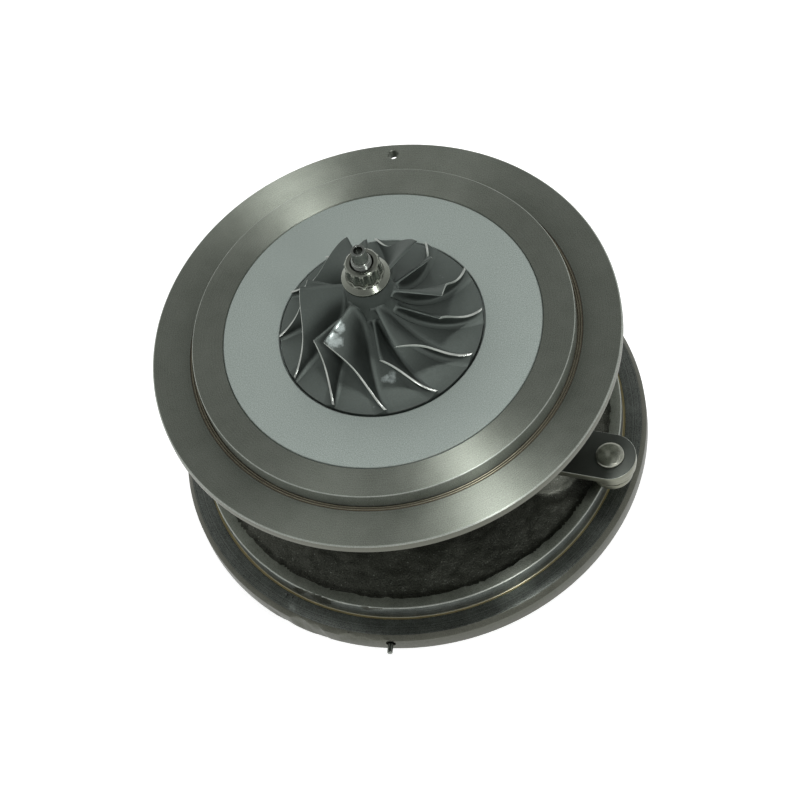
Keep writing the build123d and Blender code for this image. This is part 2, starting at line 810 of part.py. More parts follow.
# Rotor shaft: ring hub, journal, long stub, thread and necked end.
with BuildPart() as rotor_shaft:
    with BuildSketch(Plane.XZ):
        with BuildLine():
            Polyline(
                (0, weld_z),
                (seal_hub_r, weld_z),
                (seal_hub_r, weld_z + seal_hub_l),
                (journal_r, weld_z + seal_hub_l),
                (journal_r, shoulder_z),
                (stub_r - fit, shoulder_z),
                (stub_r - fit, wheel_nose_z),
                (thread_r, wheel_nose_z),
                (thread_r, thread_end_z),
                (tip_r, thread_end_z),
                (tip_r, shaft_end_z),
                (0, shaft_end_z),
                close=True,
            )
        make_face()
    revolve(axis=Axis.Z)
    with BuildSketch(Plane.XZ):
        with Locations((seal_hub_r, turbine_ring_z)):
            Rectangle(2 * ring_w, ring_t + 2 * side_play)
    revolve(axis=Axis.Z, mode=Mode.SUBTRACT)
    with Locations((0, 0, shaft_end_z)):
        CounterSinkHole(tip_hole_r, tip_hole_r + side_play, tip_hole_depth)
    chamfer(rings(rotor_shaft, thread_r, thread_end_z), thread_edge)
rotor_shaft.part.label = "rotor_shaft"
export_step(rotor_shaft.part, "parts/rotor_shaft.step")

# Thrust collar: disc under the thrust bearing and the sleeve through it.
with BuildPart() as thrust_collar:
    with BuildSketch(Plane.XZ):
        with BuildLine():
            Polyline(
                (stub_r, shoulder_z),
                (collar_r, shoulder_z),
                (collar_r, collar_top_z),
                (collar_sleeve_r, collar_top_z),
                (collar_sleeve_r, flinger_z),
                (stub_r, flinger_z),
                close=True,
            )
        make_face()
    revolve(axis=Axis.Z)
thrust_collar.part.label = "thrust_collar"
export_step(thrust_collar.part, "parts/thrust_collar.step")

# Oil flinger: disc on the thrust bearing's upper face and the ring sleeve.
with BuildPart() as oil_flinger:
    with BuildSketch(Plane.XZ):
        with BuildLine():
            Polyline(
                (stub_r, flinger_z),
                (collar_r, flinger_z),
                (flinger_r, flinger_z + flinger_t / 2),
                (flinger_r, flinger_z + flinger_t),
                (sleeve_bore_r - air_gap, flinger_z + flinger_t),
                (sleeve_bore_r - air_gap, sleeve_seat_z),
                (stub_r, sleeve_seat_z),
                close=True,
            )
        make_face()
    revolve(axis=Axis.Z)
    with BuildSketch(Plane.XZ):
        with Locations((sleeve_bore_r - air_gap, compressor_ring_z)):
            Rectangle(2 * ring_w, ring_t + 2 * side_play)
    revolve(axis=Axis.Z, mode=Mode.SUBTRACT)
oil_flinger.part.label = "oil_flinger"
export_step(oil_flinger.part, "parts/oil_flinger.step")


# Bladed wheels. A blade is lofted through flat sections, each in a plane that
# holds its root, its tip and the direction round the axis, so that the section
# is a thin trapezoid, thicker at the root.
class Blade:
    """Blade between two quarter ellipses, where phi runs from 0 to 90 degrees."""

    def __init__(self, corner, hub, tip, turn, lean, tip_t, root_t, inset):
        self.corner_r, self.hub_corner_z, self.tip_corner_z = corner
        self.hub = hub
        self.tip = tip
        self.turn = turn
        self.lean = lean
        self.tip_t = tip_t
        self.root_t = root_t
        self.inset = inset

    def meridian(self, radii, corner_z, phi):
        """Radius and height of one edge of the blade at phi."""
        along = radians(phi)
        return (
            self.corner_r - radii[0] * cos(along),
            corner_z - radii[1] * sin(along),
        )

    def azimuths(self, phi):
        """Azimuth of the root and of the tip at phi."""
        start, end = self.lean
        tip_azimuth = self.turn(phi)
        return tip_azimuth - start - (end - start) * phi / 90, tip_azimuth

    def round_thickness(self, radii, corner_z, phi, thickness):
        """Thickness round the axis of a blade that is this thick across."""
        before = self.meridian(radii, corner_z, phi - 1)
        after = self.meridian(radii, corner_z, phi + 1)
        path = ((after[0] - before[0]) ** 2 + (after[1] - before[1]) ** 2) ** 0.5
        middle_r = self.meridian(radii, corner_z, phi)[0]
        swing = middle_r * radians(self.turn(phi + 1) - self.turn(phi - 1))
        return thickness * (1 + (swing / path) ** 2) ** 0.5

    def section(self, phi):
        """Plane of one section and its four corners in that plane."""
        root_azimuth, tip_azimuth = self.azimuths(phi)
        root_r, root_z = self.meridian(self.hub, self.hub_corner_z, phi)
        tip_r, tip_z = self.meridian(self.tip, self.tip_corner_z, phi)
        root = polar(root_r, root_azimuth, root_z)
        tip = polar(tip_r, tip_azimuth, tip_z)
        span = (tip - root).normalized()
        root = root - span * self.inset
        middle = (root + tip) / 2
        tangent = Vector(-middle.Y, middle.X, 0).normalized()
        plane = Plane(origin=middle, x_dir=tangent, z_dir=tangent.cross(span))
        half_root = self.round_thickness(self.hub, self.hub_corner_z, phi, self.root_t) / 2
        half_tip = self.round_thickness(self.tip, self.tip_corner_z, phi, self.tip_t) / 2
        foot = plane.to_local_coords(root)
        head = plane.to_local_coords(tip)
        corners = (
            (foot.X - half_root, foot.Y),
            (foot.X + half_root, foot.Y),
            (head.X + half_tip, head.Y),
            (head.X - half_tip, head.Y),
        )
        return plane, corners

    def body(self, phis):
        """Solid blade lofted through the sections at these values of phi."""
        with BuildPart() as blade:
            for phi in phis:
                plane, corners = self.section(phi)
                with BuildSketch(plane):
                    with BuildLine():
                        Polyline(*corners, close=True)
                    make_face()
            loft()
        return blade.part


def inducer_turn(phi):
    """Azimuth of the compressor blade's tip: quick at the inlet, then steady."""
    quick = inlet_twist * (1 - exp(-phi / inlet_twist_rate))
    return blade_azimuth + quick + steady_twist * phi


def exducer_turn(phi):
    """Azimuth of the turbine blade's tip: radial at the inlet, turned at the exit."""
    return turbine_twist * max(0.0, 1 - phi / 90) ** turbine_twist_power


# Compressor wheel: six full blades and six splitters on a curved hub.
compressor_blade = Blade(
    corner=(wheel_r, wheel_top_z, wheel_shroud_z),
    hub=(wheel_r - wheel_nose_r, wheel_h),
    tip=(wheel_r - inducer_r, wheel_shroud_z - wheel_exit_z - wheel_exit_w),
    turn=inducer_turn,
    lean=blade_lean,
    tip_t=blade_tip_t,
    root_t=blade_root_t,
    inset=blade_root_inset,
)
full_blade = compressor_blade.body((0, 12, 26, 42, 58, 74, 93))
splitter_blade = compressor_blade.body((splitter_start, 26, 42, 58, 74, 93))

with BuildPart() as compressor_wheel:
    with BuildSketch(Plane.XZ):
        with BuildLine():
            hub_line = EllipticalCenterArc(
                (wheel_r, wheel_top_z),
                wheel_r - wheel_nose_r,
                wheel_h,
                start_angle=180,
                arc_size=90,
            )
            Polyline(
                (wheel_r, wheel_exit_z),
                (wheel_r, wheel_exit_z - wheel_rim_t),
                (wheel_cone_r, wheel_back_z),
                (wheel_boss_r, wheel_back_z),
                (wheel_boss_r, sleeve_seat_z),
                (stub_r, sleeve_seat_z),
                (stub_r, wheel_nose_z),
                (wheel_nose_r, wheel_nose_z),
                (wheel_nose_r, wheel_top_z),
            )
        make_face()
    revolve(axis=Axis.Z)
    with PolarLocations(0, blade_count):
        add(full_blade)
    with PolarLocations(0, blade_count, splitter_shift):
        add(splitter_blade)
    Cylinder(
        wheel_r,
        2 * (wheel_nose_z - sleeve_seat_z),
        mode=Mode.INTERSECT,
    )
    with Locations((0, 0, sleeve_seat_z)):
        Cylinder(stub_r, wheel_nose_z, align=(Align.CENTER, Align.CENTER, Align.MIN), mode=Mode.SUBTRACT)
compressor_wheel.part.label = "compressor_wheel"
export_step(compressor_wheel.part, "parts/compressor_wheel.step")

# Compressor nut: round flange under a twelve-point body.
with BuildPart() as compressor_nut:
    with BuildSketch(Plane.XY.offset(wheel_nose_z)):
        Circle(nut_flange_r)
    extrude(amount=nut_flange_t)
    chamfer(compressor_nut.edges().group_by(Axis.Z)[-1], nut_flange_edge)
    with BuildSketch(Plane.XY.offset(wheel_nose_z)):
        RegularPolygon(nut_point_r, 6)
        RegularPolygon(nut_point_r, 6, rotation=30)
    extrude(amount=nut_top_z - wheel_nose_z)
    with BuildSketch(Plane.XZ):
        with BuildLine():
            Polyline(
                (nut_point_r - nut_corner, nut_top_z),
                (nut_point_r, nut_top_z - nut_corner),
                (nut_flange_r, nut_top_z - nut_corner),
                (nut_flange_r, nut_top_z),
                close=True,
            )
        make_face()
    revolve(axis=Axis.Z, mode=Mode.SUBTRACT)
    with Locations((0, 0, nut_top_z)):
        CounterSinkHole(thread_r + fit, nut_sink_r)
compressor_nut.part.label = "compressor_nut"
export_step(compressor_nut.part, "parts/compressor_nut.step")

# Turbine wheel: radial inlet, turned exit, scalloped back disc and hexagon nose.
turbine_blade = Blade(
    corner=(turbine_r, turbine_exit_z, turbine_exit_z),
    hub=(turbine_r - turbine_nose_r, -turbine_axial),
    tip=(turbine_r - exducer_r, turbine_inlet_w - turbine_axial),
    turn=exducer_turn,
    lean=(0.0, 0.0),
    tip_t=turbine_blade_tip_t,
    root_t=turbine_blade_root_t,
    inset=turbine_blade_inset,
)
vane = turbine_blade.body((0, 15, 32, 50, 70, 93))

with BuildPart() as turbine_wheel:
    with BuildSketch(Plane.XZ):
        with BuildLine():
            EllipticalCenterArc(
                (turbine_r, turbine_exit_z),
                turbine_r - turbine_nose_r,
                turbine_axial,
                start_angle=90,
                arc_size=90,
            )
            Polyline(
                (turbine_nose_r, turbine_exit_z),
                (turbine_nose_r - turbine_nose_edge, turbine_nose_z),
                (0, turbine_nose_z),
                (0, weld_z),
                (turbine_hub_r, weld_z),
                (turbine_hub_r, turbine_back_z),
                (turbine_dish_r, turbine_back_z),
                (turbine_r, turbine_rim_z),
                (turbine_r, turbine_rim_z - turbine_disc_t),
            )
        make_face()
    revolve(axis=Axis.Z)
    scallops = PolarLocations(scallop_circle_r, turbine_blade_count, 180 / turbine_blade_count)
    with BuildSketch(Plane.XY.offset(turbine_back_z)):
        with scallops:
            Circle(scallop_r)
    extrude(amount=-scallop_depth, mode=Mode.SUBTRACT)
    with PolarLocations(0, turbine_blade_count):
        add(vane)
    with Locations((0, 0, weld_z)):
        Cylinder(
            turbine_r,
            weld_z - turbine_hex_z,
            align=(Align.CENTER, Align.CENTER, Align.MAX),
            mode=Mode.INTERSECT,
        )
    with BuildSketch(Plane.XY.offset(turbine_nose_z)):
        RegularPolygon(turbine_hex_r, 6)
    extrude(amount=-turbine_hex_h)
turbine_wheel.part.label = "turbine_wheel"
export_step(turbine_wheel.part, "parts/turbine_wheel.step")

# Lever bush, pressed into the housing's boss.
with BuildPart() as lever_bush:
    with BuildSketch(Plane.XY.offset(recess_z)):
        with Locations(pivot):
            Circle(bush_r - fit)
            Circle(lever_shaft_r + running, mode=Mode.SUBTRACT)
    extrude(amount=lever_boss_z - recess_z)
lever_bush.part.label = "lever_bush"
export_step(lever_bush.part, "parts/lever_bush.step")

# Lever shaft: a tenon at each end carries an arm and is peened over it.
with BuildPart() as lever_shaft:
    with BuildSketch(Plane.XY.offset(crank_top_z)):
        with Locations(pivot):
            Circle(lever_shaft_r)
    extrude(amount=lever_shoulder_z - crank_top_z)
    with BuildSketch(Plane.XY.offset(crank_bottom_z)):
        with Locations(pivot):
            Circle(lever_tenon_r - fit)
    extrude(amount=lever_top_z - crank_bottom_z)
    for head_z, rise in ((lever_top_z, tenon_head_h), (crank_bottom_z, -tenon_head_h)):
        with BuildSketch(Plane.XY.offset(head_z)):
            with Locations(pivot):
                Circle(tenon_head_r)
        extrude(amount=rise, taper=tenon_head_taper)
    with BuildSketch(Plane.XY.offset(lever_ring_z)):
        with Locations(pivot):
            Circle(bush_r)
            Circle(lever_shaft_r - lever_groove_d, mode=Mode.SUBTRACT)
    extrude(amount=lever_ring_t + 2 * side_play, mode=Mode.SUBTRACT)
lever_shaft.part.label = "lever_shaft"
export_step(lever_shaft.part, "parts/lever_shaft.step")

# Seal ring in the groove of the lever shaft.
with BuildPart() as lever_seal_ring:
    with BuildSketch(Plane.XY.offset(lever_ring_z + side_play)):
        with Locations(pivot):
            Circle(lever_shaft_r + running - fit)
            Circle(lever_shaft_r - lever_groove_d + side_play, mode=Mode.SUBTRACT)
    extrude(amount=lever_ring_t)
lever_seal_ring.part.label = "lever_seal_ring"
export_step(lever_seal_ring.part, "parts/lever_seal_ring.step")

# Control lever: flat bar with a pad under the pin's end and a hub on the shaft.
lever_middle = swung(pivot, lever_length / 2, lever_angle)
with BuildPart() as control_lever:
    with BuildSketch(Plane.XY.offset(lever_bottom_z)):
        with Locations((lever_middle.X, lever_middle.Y)):
            SlotCenterToCenter(lever_length, 2 * lever_end_r, rotation=lever_angle)
    extrude(amount=lever_t)
    chamfer(control_lever.faces().sort_by(Axis.Z)[-1].edges(), lever_edge)
    with BuildSketch(Plane.XY.offset(lever_bottom_z)):
        with Locations((pin_centre.X, pin_centre.Y)):
            Circle(lever_pad_r)
    extrude(amount=-lever_pad_t)
    with BuildSketch(Plane.XY.offset(lever_bottom_z)):
        with Locations(pivot):
            Circle(lever_hub_r)
    extrude(amount=-lever_hub_t)
    with Locations((pivot.X, pivot.Y, lever_top_z)):
        Hole(lever_tenon_r)
    with Locations((pin_centre.X, pin_centre.Y, lever_top_z)):
        Hole(lever_pin_r)
control_lever.part.label = "control_lever"
export_step(control_lever.part, "parts/control_lever.step")

# Lever pin with a dimpled head above the lever, and the disc riveted under it.
with BuildPart() as lever_pin:
    with BuildSketch(Plane.XY.offset(pin_disc_bottom_z)):
        with Locations((pin_centre.X, pin_centre.Y)):
            Circle(lever_pin_r - fit)
    extrude(amount=lever_top_z - pin_disc_bottom_z)
    with BuildSketch(Plane.XY.offset(lever_top_z)):
        with Locations((pin_centre.X, pin_centre.Y)):
            Circle(lever_pin_head_r)
    extrude(amount=lever_pin_head_h)
    fillet(lever_pin.edges().group_by(Axis.Z)[-1], lever_pin_head_edge)
    with BuildSketch(Plane.XY.offset(lever_top_z + lever_pin_head_h)):
        with Locations((pin_centre.X, pin_centre.Y)):
            Circle(lever_pin_dimple_r)
    extrude(amount=-lever_pin_dimple_d, taper=lever_pin_dimple_taper, mode=Mode.SUBTRACT)
    with BuildSketch(Plane.XY.offset(pin_disc_bottom_z)):
        with Locations((pin_centre.X, pin_centre.Y)):
            Circle(lever_pin_rivet_r)
    extrude(amount=-lever_pin_dimple_d, taper=lever_pin_rivet_taper)
lever_pin.part.label = "lever_pin"
export_step(lever_pin.part, "parts/lever_pin.step")

with BuildPart() as lever_pin_disc:
    with BuildSketch(Plane.XY.offset(pin_disc_bottom_z)):
        with Locations((pin_centre.X, pin_centre.Y)):
            Circle(pin_disc_r)
            Circle(lever_pin_r, mode=Mode.SUBTRACT)
    extrude(amount=pin_disc_t)
    with BuildSketch(Plane.XY.offset(pin_disc_top_z)):
        with Locations((pin_centre.X, pin_centre.Y)):
            Circle(pin_seam_r)
            Circle(lever_pin_r, mode=Mode.SUBTRACT)
    extrude(amount=pin_seam)
    chamfer(lever_pin_disc.edges().group_by(Axis.Z)[0], pin_disc_edge)
lever_pin_disc.part.label = "lever_pin_disc"
export_step(lever_pin_disc.part, "parts/lever_pin_disc.step")

# Crank arm and its pin, in the turbine side recess.
with BuildPart() as crank_arm:
    with BuildSketch(Plane.XY.offset(crank_bottom_z)):
        with Locations(pivot):
            Circle(crank_hub_r)
        with Locations((crank_end.X, crank_end.Y)):
            Circle(crank_end_r)
        make_hull()
        with Locations(pivot):
            Circle(lever_tenon_r, mode=Mode.SUBTRACT)
        with Locations((crank_end.X, crank_end.Y)):
            Circle(crank_pin_r, mode=Mode.SUBTRACT)
    extrude(amount=crank_t)
crank_arm.part.label = "crank_arm"
export_step(crank_arm.part, "parts/crank_arm.step")

with BuildPart() as crank_pin:
    with BuildSketch(Plane.XY.offset(crank_top_z)):
        with Locations((crank_end.X, crank_end.Y)):
            Circle(crank_pin_r - fit)
    extrude(amount=-crank_t - crank_pin_reach)
    chamfer(crank_pin.edges().group_by(Axis.Z)[0], crank_pin_edge)
crank_pin.part.label = "crank_pin"
export_step(crank_pin.part, "parts/crank_pin.step")

# Locating pin in the turbine flange's rim.
with BuildPart() as rim_locating_pin:
    with BuildSketch(rim_pin_plane):
        Circle(rim_pin_r - fit)
    extrude(amount=rim_pin_stand)
    with BuildSketch(rim_pin_plane):
        Circle(rim_pin_r - fit)
    extrude(amount=-rim_pin_depth + screw_end_gap)
    tip_face = rim_locating_pin.faces().sort_by(lambda f: f.center().dot(polar(1, rim_pin_angle)))[-1]
    fillet(tip_face.edges(), rim_pin_edge)
rim_locating_pin.part.label = "rim_locating_pin"
export_step(rim_locating_pin.part, "parts/rim_locating_pin.step")
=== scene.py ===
"""Looks of a turbo cartridge: finishes, dressed pieces, studio and camera.

Every length is in millimetres until it reaches a mesh, where MM turns it into metres. The rotor
axis is Z with the compressor end up, and the origin lies in the compressor flange's outer face.
"""

from __future__ import annotations

import logging
import math
from dataclasses import dataclass, field
from enum import Enum
from functools import cache
from typing import Callable, Iterable, Sequence

import bmesh
import bpy
from mathutils import Matrix, Vector, noise

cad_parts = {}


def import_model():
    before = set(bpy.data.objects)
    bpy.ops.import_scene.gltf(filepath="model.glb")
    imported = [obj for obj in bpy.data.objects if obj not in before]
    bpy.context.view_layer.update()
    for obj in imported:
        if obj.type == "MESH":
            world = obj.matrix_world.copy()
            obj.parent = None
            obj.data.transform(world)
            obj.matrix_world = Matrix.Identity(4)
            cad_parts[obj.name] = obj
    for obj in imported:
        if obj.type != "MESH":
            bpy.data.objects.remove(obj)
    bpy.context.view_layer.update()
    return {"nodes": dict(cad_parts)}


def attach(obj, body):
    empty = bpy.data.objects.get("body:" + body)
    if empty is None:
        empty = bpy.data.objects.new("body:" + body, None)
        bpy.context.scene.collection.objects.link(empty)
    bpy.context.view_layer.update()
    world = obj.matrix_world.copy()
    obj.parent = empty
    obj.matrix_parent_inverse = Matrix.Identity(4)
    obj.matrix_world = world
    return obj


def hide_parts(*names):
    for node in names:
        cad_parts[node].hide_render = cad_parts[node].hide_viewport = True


MM = 0.001
# Sizes of the patterns that the metals share, a little coarser than life so that they show.
SPECKLE_MM = 0.26
# Glint size here and glint colour below: painted glints, pale specks of colour that stand for sparkle.
PAINTED_GLINT_MM = 0.55
# Rub size here and rub colour below: worn spots whose pale colour is a painted sheen.
RUB_AND_SHEEN_MM = 4.2
PAINTED_GLINT_COLOUR = "#a4a9a1"
PAINTED_SHEEN_COLOUR = "#b9c4c1"
# Most values of a noise texture lie between these two.
NOISE_LOW, NOISE_HIGH = 0.25, 0.75
# How far a metal's roughness strays either way, as a share of it.
ROUGH_SPREAD = 0.14
# Vertices closer than this are one, in metres.
WELD_M = 1e-7
ORIGIN = Vector().freeze()
Point = tuple[float, float]
Pair = tuple[float, float]
Skin = tuple[list[Vector], list[tuple[int, ...]]]
Socket = bpy.types.NodeSocket
log = logging.getLogger("cartridge")


class Body(Enum):
    """The bodies of the frame that a piece can ride on."""

    HOUSING = "housing"
    ROTOR = "rotor"
    LEVER = "lever"


class Grain(Enum):
    """How the surface of a metal was made, which sets its pattern."""

    TURNED = "turned"
    BLASTED = "blasted"
    CAST = "cast"
    ROLLED = "rolled"


# Finishes


def cleared(owner: bpy.types.Material | bpy.types.World) -> bpy.types.NodeTree:
    """Gives the emptied node tree of a material or a world.

    Args:
        owner: The material or the world.

    Returns:
        Its node tree, without nodes.
    """
    owner.use_nodes = True
    owner.node_tree.nodes.clear()
    return owner.node_tree


def linear(hex_colour: str) -> tuple[float, float, float, float]:
    """Turns an sRGB hex colour into the linear values that a shader takes.

    Args:
        hex_colour: Six hex digits after a number sign.

    Returns:
        Red, green, blue and an alpha of one.
    """
    parts = [int(hex_colour[i:i + 2], 16) / 255 for i in (1, 3, 5)]
    return (*[p / 12.92 if p <= 0.04045 else ((p + 0.055) / 1.055) ** 2.4 for p in parts], 1.0)


def add(tree: bpy.types.NodeTree, kind: str, inputs: dict | None = None, **settings) -> bpy.types.Node:
    """Adds a node with its settings, and sets or links its inputs.

    Args:
        tree: The node tree that gets the node.
        kind: The node's type name.
        inputs: Values or output sockets, by input name or index.
        **settings: Properties of the node.

    Returns:
        The new node.
    """
    node = tree.nodes.new(kind)
    for key, value in settings.items():
        setattr(node, key, value)
    for key, value in (inputs or {}).items():
        if isinstance(value, Socket):
            tree.links.new(value, node.inputs[key])
        else:
            node.inputs[key].default_value = value
    return node


@dataclass(frozen=True)
class Metal:
    """A metal surface: its colour, gloss and the pattern that its making left."""

    name: str
    colour: str
    dark: str
    roughness: float
    grain: Grain
    grain_mm: float
    grain_depth_mm: float
    speckle: float = 0.35
    stain_mm: float = 9.0
    stain: float = 0.5
    anisotropy: float = 0.0
    metallic: float = 1.0
    ring_tone: float = 0.0
    grit: float = 0.0
    painted_glint: float = 0.0
    rub_and_sheen_spots: tuple[tuple[float, float, float, float], ...] = ()

    @cache
    def material(self) -> bpy.types.Material:
        """Builds the material; a second call gives the same one.

        Returns:
            The material.
        """
        material = bpy.data.materials.new(self.name)
        tree = cleared(material)
        place = add(tree, "ShaderNodeTexCoord").outputs["Object"]
        grain = self.grain_value(tree, place)
        speckle = add(tree, "ShaderNodeTexNoise", {
            "Vector": place, "Scale": 1 / (SPECKLE_MM * MM), "Detail": 1.0}).outputs["Fac"]
        stain = add(tree, "ShaderNodeTexNoise", {
            "Vector": place, "Scale": 1 / (self.stain_mm * MM), "Detail": 4.0, "Roughness": 0.62,
        }).outputs["Fac"]
        colour = self.colour_value(tree, grain, speckle, stain)
        rough = add(tree, "ShaderNodeMapRange", {
            "Value": add(tree, "ShaderNodeMath", {0: grain, 1: stain}, operation="ADD").outputs[0],
            "From Min": 0.6, "From Max": 1.4,
            "To Min": self.roughness * (1 - ROUGH_SPREAD), "To Max": self.roughness * (1 + ROUGH_SPREAD),
        }).outputs["Result"]
        # Painted glints: pale specks mixed into the colour where a fine noise peaks.
        if self.painted_glint:
            painted_glint_noise = add(tree, "ShaderNodeTexNoise", {
                "Vector": place, "Scale": 1 / (PAINTED_GLINT_MM * MM), "Detail": 2.0, "Roughness": 0.7,
            }).outputs["Fac"]
            painted_glint_mask = add(tree, "ShaderNodeMapRange", {
                "Value": painted_glint_noise, "From Min": self.painted_glint, "From Max": self.painted_glint + 0.06,
            }).outputs["Result"]
            colour = add(tree, "ShaderNodeMix", {
                "Factor": painted_glint_mask, "A": colour, "B": linear(PAINTED_GLINT_COLOUR)}, data_type="RGBA").outputs["Result"]
        # Worn spots: glossier, with a pale painted sheen mixed into the colour.
        if self.rub_and_sheen_spots:
            rub_and_sheen = self.rub_and_sheen_value(tree, place)
            rough = add(tree, "ShaderNodeMath", {
                0: rub_and_sheen, 1: -0.5 * self.roughness, 2: rough}, operation="MULTIPLY_ADD").outputs[0]
            colour = add(tree, "ShaderNodeMix", {
                "Factor": rub_and_sheen, "A": colour, "B": linear(PAINTED_SHEEN_COLOUR)}, data_type="RGBA").outputs["Result"]
        height = add(tree, "ShaderNodeMath", {0: speckle, 1: self.grit, 2: grain},
                     operation="MULTIPLY_ADD").outputs[0]
        bump = add(tree, "ShaderNodeBump", {
            "Height": height, "Strength": 1.0, "Distance": self.grain_depth_mm * MM}).outputs["Normal"]
        shader = add(tree, "ShaderNodeBsdfPrincipled", {
            "Base Color": colour, "Metallic": self.metallic, "Roughness": rough, "Normal": bump})
        if self.anisotropy:
            shader.inputs["Anisotropic"].default_value = self.anisotropy
            shader.inputs["Anisotropic Rotation"].default_value = 0.25
            tangent = add(tree, "ShaderNodeTangent", direction_type="RADIAL", axis="Z")
            tree.links.new(tangent.outputs[0], shader.inputs["Tangent"])
        add(tree, "ShaderNodeOutputMaterial", {"Surface": shader.outputs[0]})
        return material

    def colour_value(self, tree: bpy.types.NodeTree, grain: Socket, speckle: Socket, stain: Socket) -> Socket:
        """Mixes the two colours by speckle, stain and, on some metals, the turned rings.

        Args:
            tree: The material's node tree.
            grain: The pattern of the surface's making.
            speckle: The fine noise.
            stain: The coarse noise.

        Returns:
            The colour.
        """
        mixed = add(tree, "ShaderNodeMath", {0: speckle, 1: self.speckle, 2: 0.5 - self.speckle / 2},
                    operation="MULTIPLY_ADD").outputs[0]
        mixed = add(tree, "ShaderNodeMath", {0: stain, 1: self.stain, 2: mixed},
                    operation="MULTIPLY_ADD").outputs[0]
        if self.ring_tone:
            rings = add(tree, "ShaderNodeMath", {0: grain, 1: 0.5}, operation="SUBTRACT").outputs[0]
            mixed = add(tree, "ShaderNodeMath", {0: rings, 1: self.ring_tone, 2: mixed},
                        operation="MULTIPLY_ADD").outputs[0]
        shade = add(tree, "ShaderNodeMapRange", {
            "Value": mixed,
            "From Min": NOISE_LOW * (1 + self.stain), "From Max": NOISE_HIGH * (1 + self.stain),
        }).outputs["Result"]
        return add(tree, "ShaderNodeMix", {
            "Factor": shade, "A": linear(self.dark), "B": linear(self.colour),
        }, data_type="RGBA").outputs["Result"]

    def rub_and_sheen_value(self, tree: bpy.types.NodeTree, place: Socket) -> Socket:
        """Adds the broken patches that handling wore glossy, with a pale painted sheen in their colour.

        Args:
            tree: The material's node tree.
            place: The object coordinates.

        Returns:
            A socket that is one on the worn spots with painted sheen and nought elsewhere.
        """
        near: Socket | float = 0.0
        for x, y, z, reach in self.rub_and_sheen_spots:
            gap = add(tree, "ShaderNodeVectorMath", {0: place, 1: (x * MM, y * MM, z * MM)},
                      operation="DISTANCE").outputs["Value"]
            spot = add(tree, "ShaderNodeMapRange", {
                "Value": gap, "From Min": reach * MM, "From Max": 0.3 * reach * MM}).outputs["Result"]
            near = add(tree, "ShaderNodeMath", {0: near, 1: spot}, operation="MAXIMUM").outputs[0]
        broken = add(tree, "ShaderNodeTexNoise", {
            "Vector": place, "Scale": 1 / (RUB_AND_SHEEN_MM * MM), "Detail": 6.0, "Roughness": 0.66}).outputs["Fac"]
        return add(tree, "ShaderNodeMapRange", {
            "Value": add(tree, "ShaderNodeMath", {0: near, 1: 0.3, 2: broken},
                         operation="MULTIPLY_ADD").outputs[0],
            "From Min": 0.69, "From Max": 0.9}).outputs["Result"]

    def grain_value(self, tree: bpy.types.NodeTree, place: Socket) -> Socket:
        """Adds the pattern of the surface's making.

        Args:
            tree: The material's node tree.
            place: The object coordinates.

        Returns:
            A socket with a height from nought to one.
        """
        scale = 1 / (self.grain_mm * MM)
        if self.grain is Grain.TURNED:
            flat = add(tree, "ShaderNodeVectorMath", {0: place, 1: (1, 1, 0)}, operation="MULTIPLY")
            radius = add(tree, "ShaderNodeVectorMath", {0: flat.outputs[0]}, operation="LENGTH")
            height = add(tree, "ShaderNodeSeparateXYZ", {0: place}).outputs["Z"]
            along = add(tree, "ShaderNodeMath", {0: radius.outputs["Value"], 1: height},
                        operation="ADD").outputs[0]
            wobble = add(tree, "ShaderNodeTexNoise", {"Vector": place, "Scale": 1 / (30 * MM)})
            across = add(tree, "ShaderNodeMath", {0: wobble.outputs["Fac"], 1: 0.02 * MM, 2: along},
                         operation="MULTIPLY_ADD").outputs[0]
            return add(tree, "ShaderNodeTexNoise", {
                "W": across, "Scale": scale, "Detail": 3.0, "Roughness": 0.7,
            }, noise_dimensions="1D").outputs["Fac"]
        if self.grain is Grain.ROLLED:
            flat = add(tree, "ShaderNodeVectorMath", {0: place, 1: (0.15, 1, 1)}, operation="MULTIPLY")
            place = flat.outputs[0]
        detail = 6.0 if self.grain is Grain.CAST else 2.0
        return add(tree, "ShaderNodeTexNoise", {
            "Vector": place, "Scale": scale, "Detail": detail, "Roughness": 0.6,
        }).outputs["Fac"]


# Grey iron, fine turned: satin, with rings that gather the light into two bright wedges.
TURNED_IRON = Metal("fine_turned_iron", "#8d9289", "#60655c", 0.42, Grain.TURNED, 0.24, 0.0045,
                    speckle=1.2, anisotropy=0.96, ring_tone=0.5, grit=1.1)
# The turbine flange of the same iron, darkened by heat and by painted shade from the flange above: the rings
# are glossier and nearly black.
HEAT_AND_SHADE_IRON = Metal("heat_darkened_and_painted_shade_turned_iron", "#858a85", "#3e423e", 0.31, Grain.TURNED, 0.34, 0.0045,
                  speckle=1.0, stain_mm=6.0, anisotropy=0.94, ring_tone=1.1, grit=0.8)
# Grey iron with its sand-cast skin: dark and rough, with small painted glints, pale specks in its colour.
CAST_IRON = Metal("cast_iron_skin_with_painted_glints", "#6c6e66", "#2b2d27", 0.4, Grain.CAST, 0.6, 0.13, speckle=1.0,
                  painted_glint=0.66, stain_mm=11.0)
# The same iron where it was milled, drilled or bored: satin, with no direction.
MILLED_IRON = Metal("milled_iron", "#84877d", "#62655c", 0.38, Grain.BLASTED, 0.5, 0.006, speckle=0.2)
# Aluminium, fine blasted: matt and pale, with a fine sparkle.
BLASTED_ALUMINIUM = Metal("glass_blasted_aluminium", "#b3bcb7", "#838c87", 0.7, Grain.BLASTED, 0.35,
                          0.014, speckle=1.0, stain=0.2)
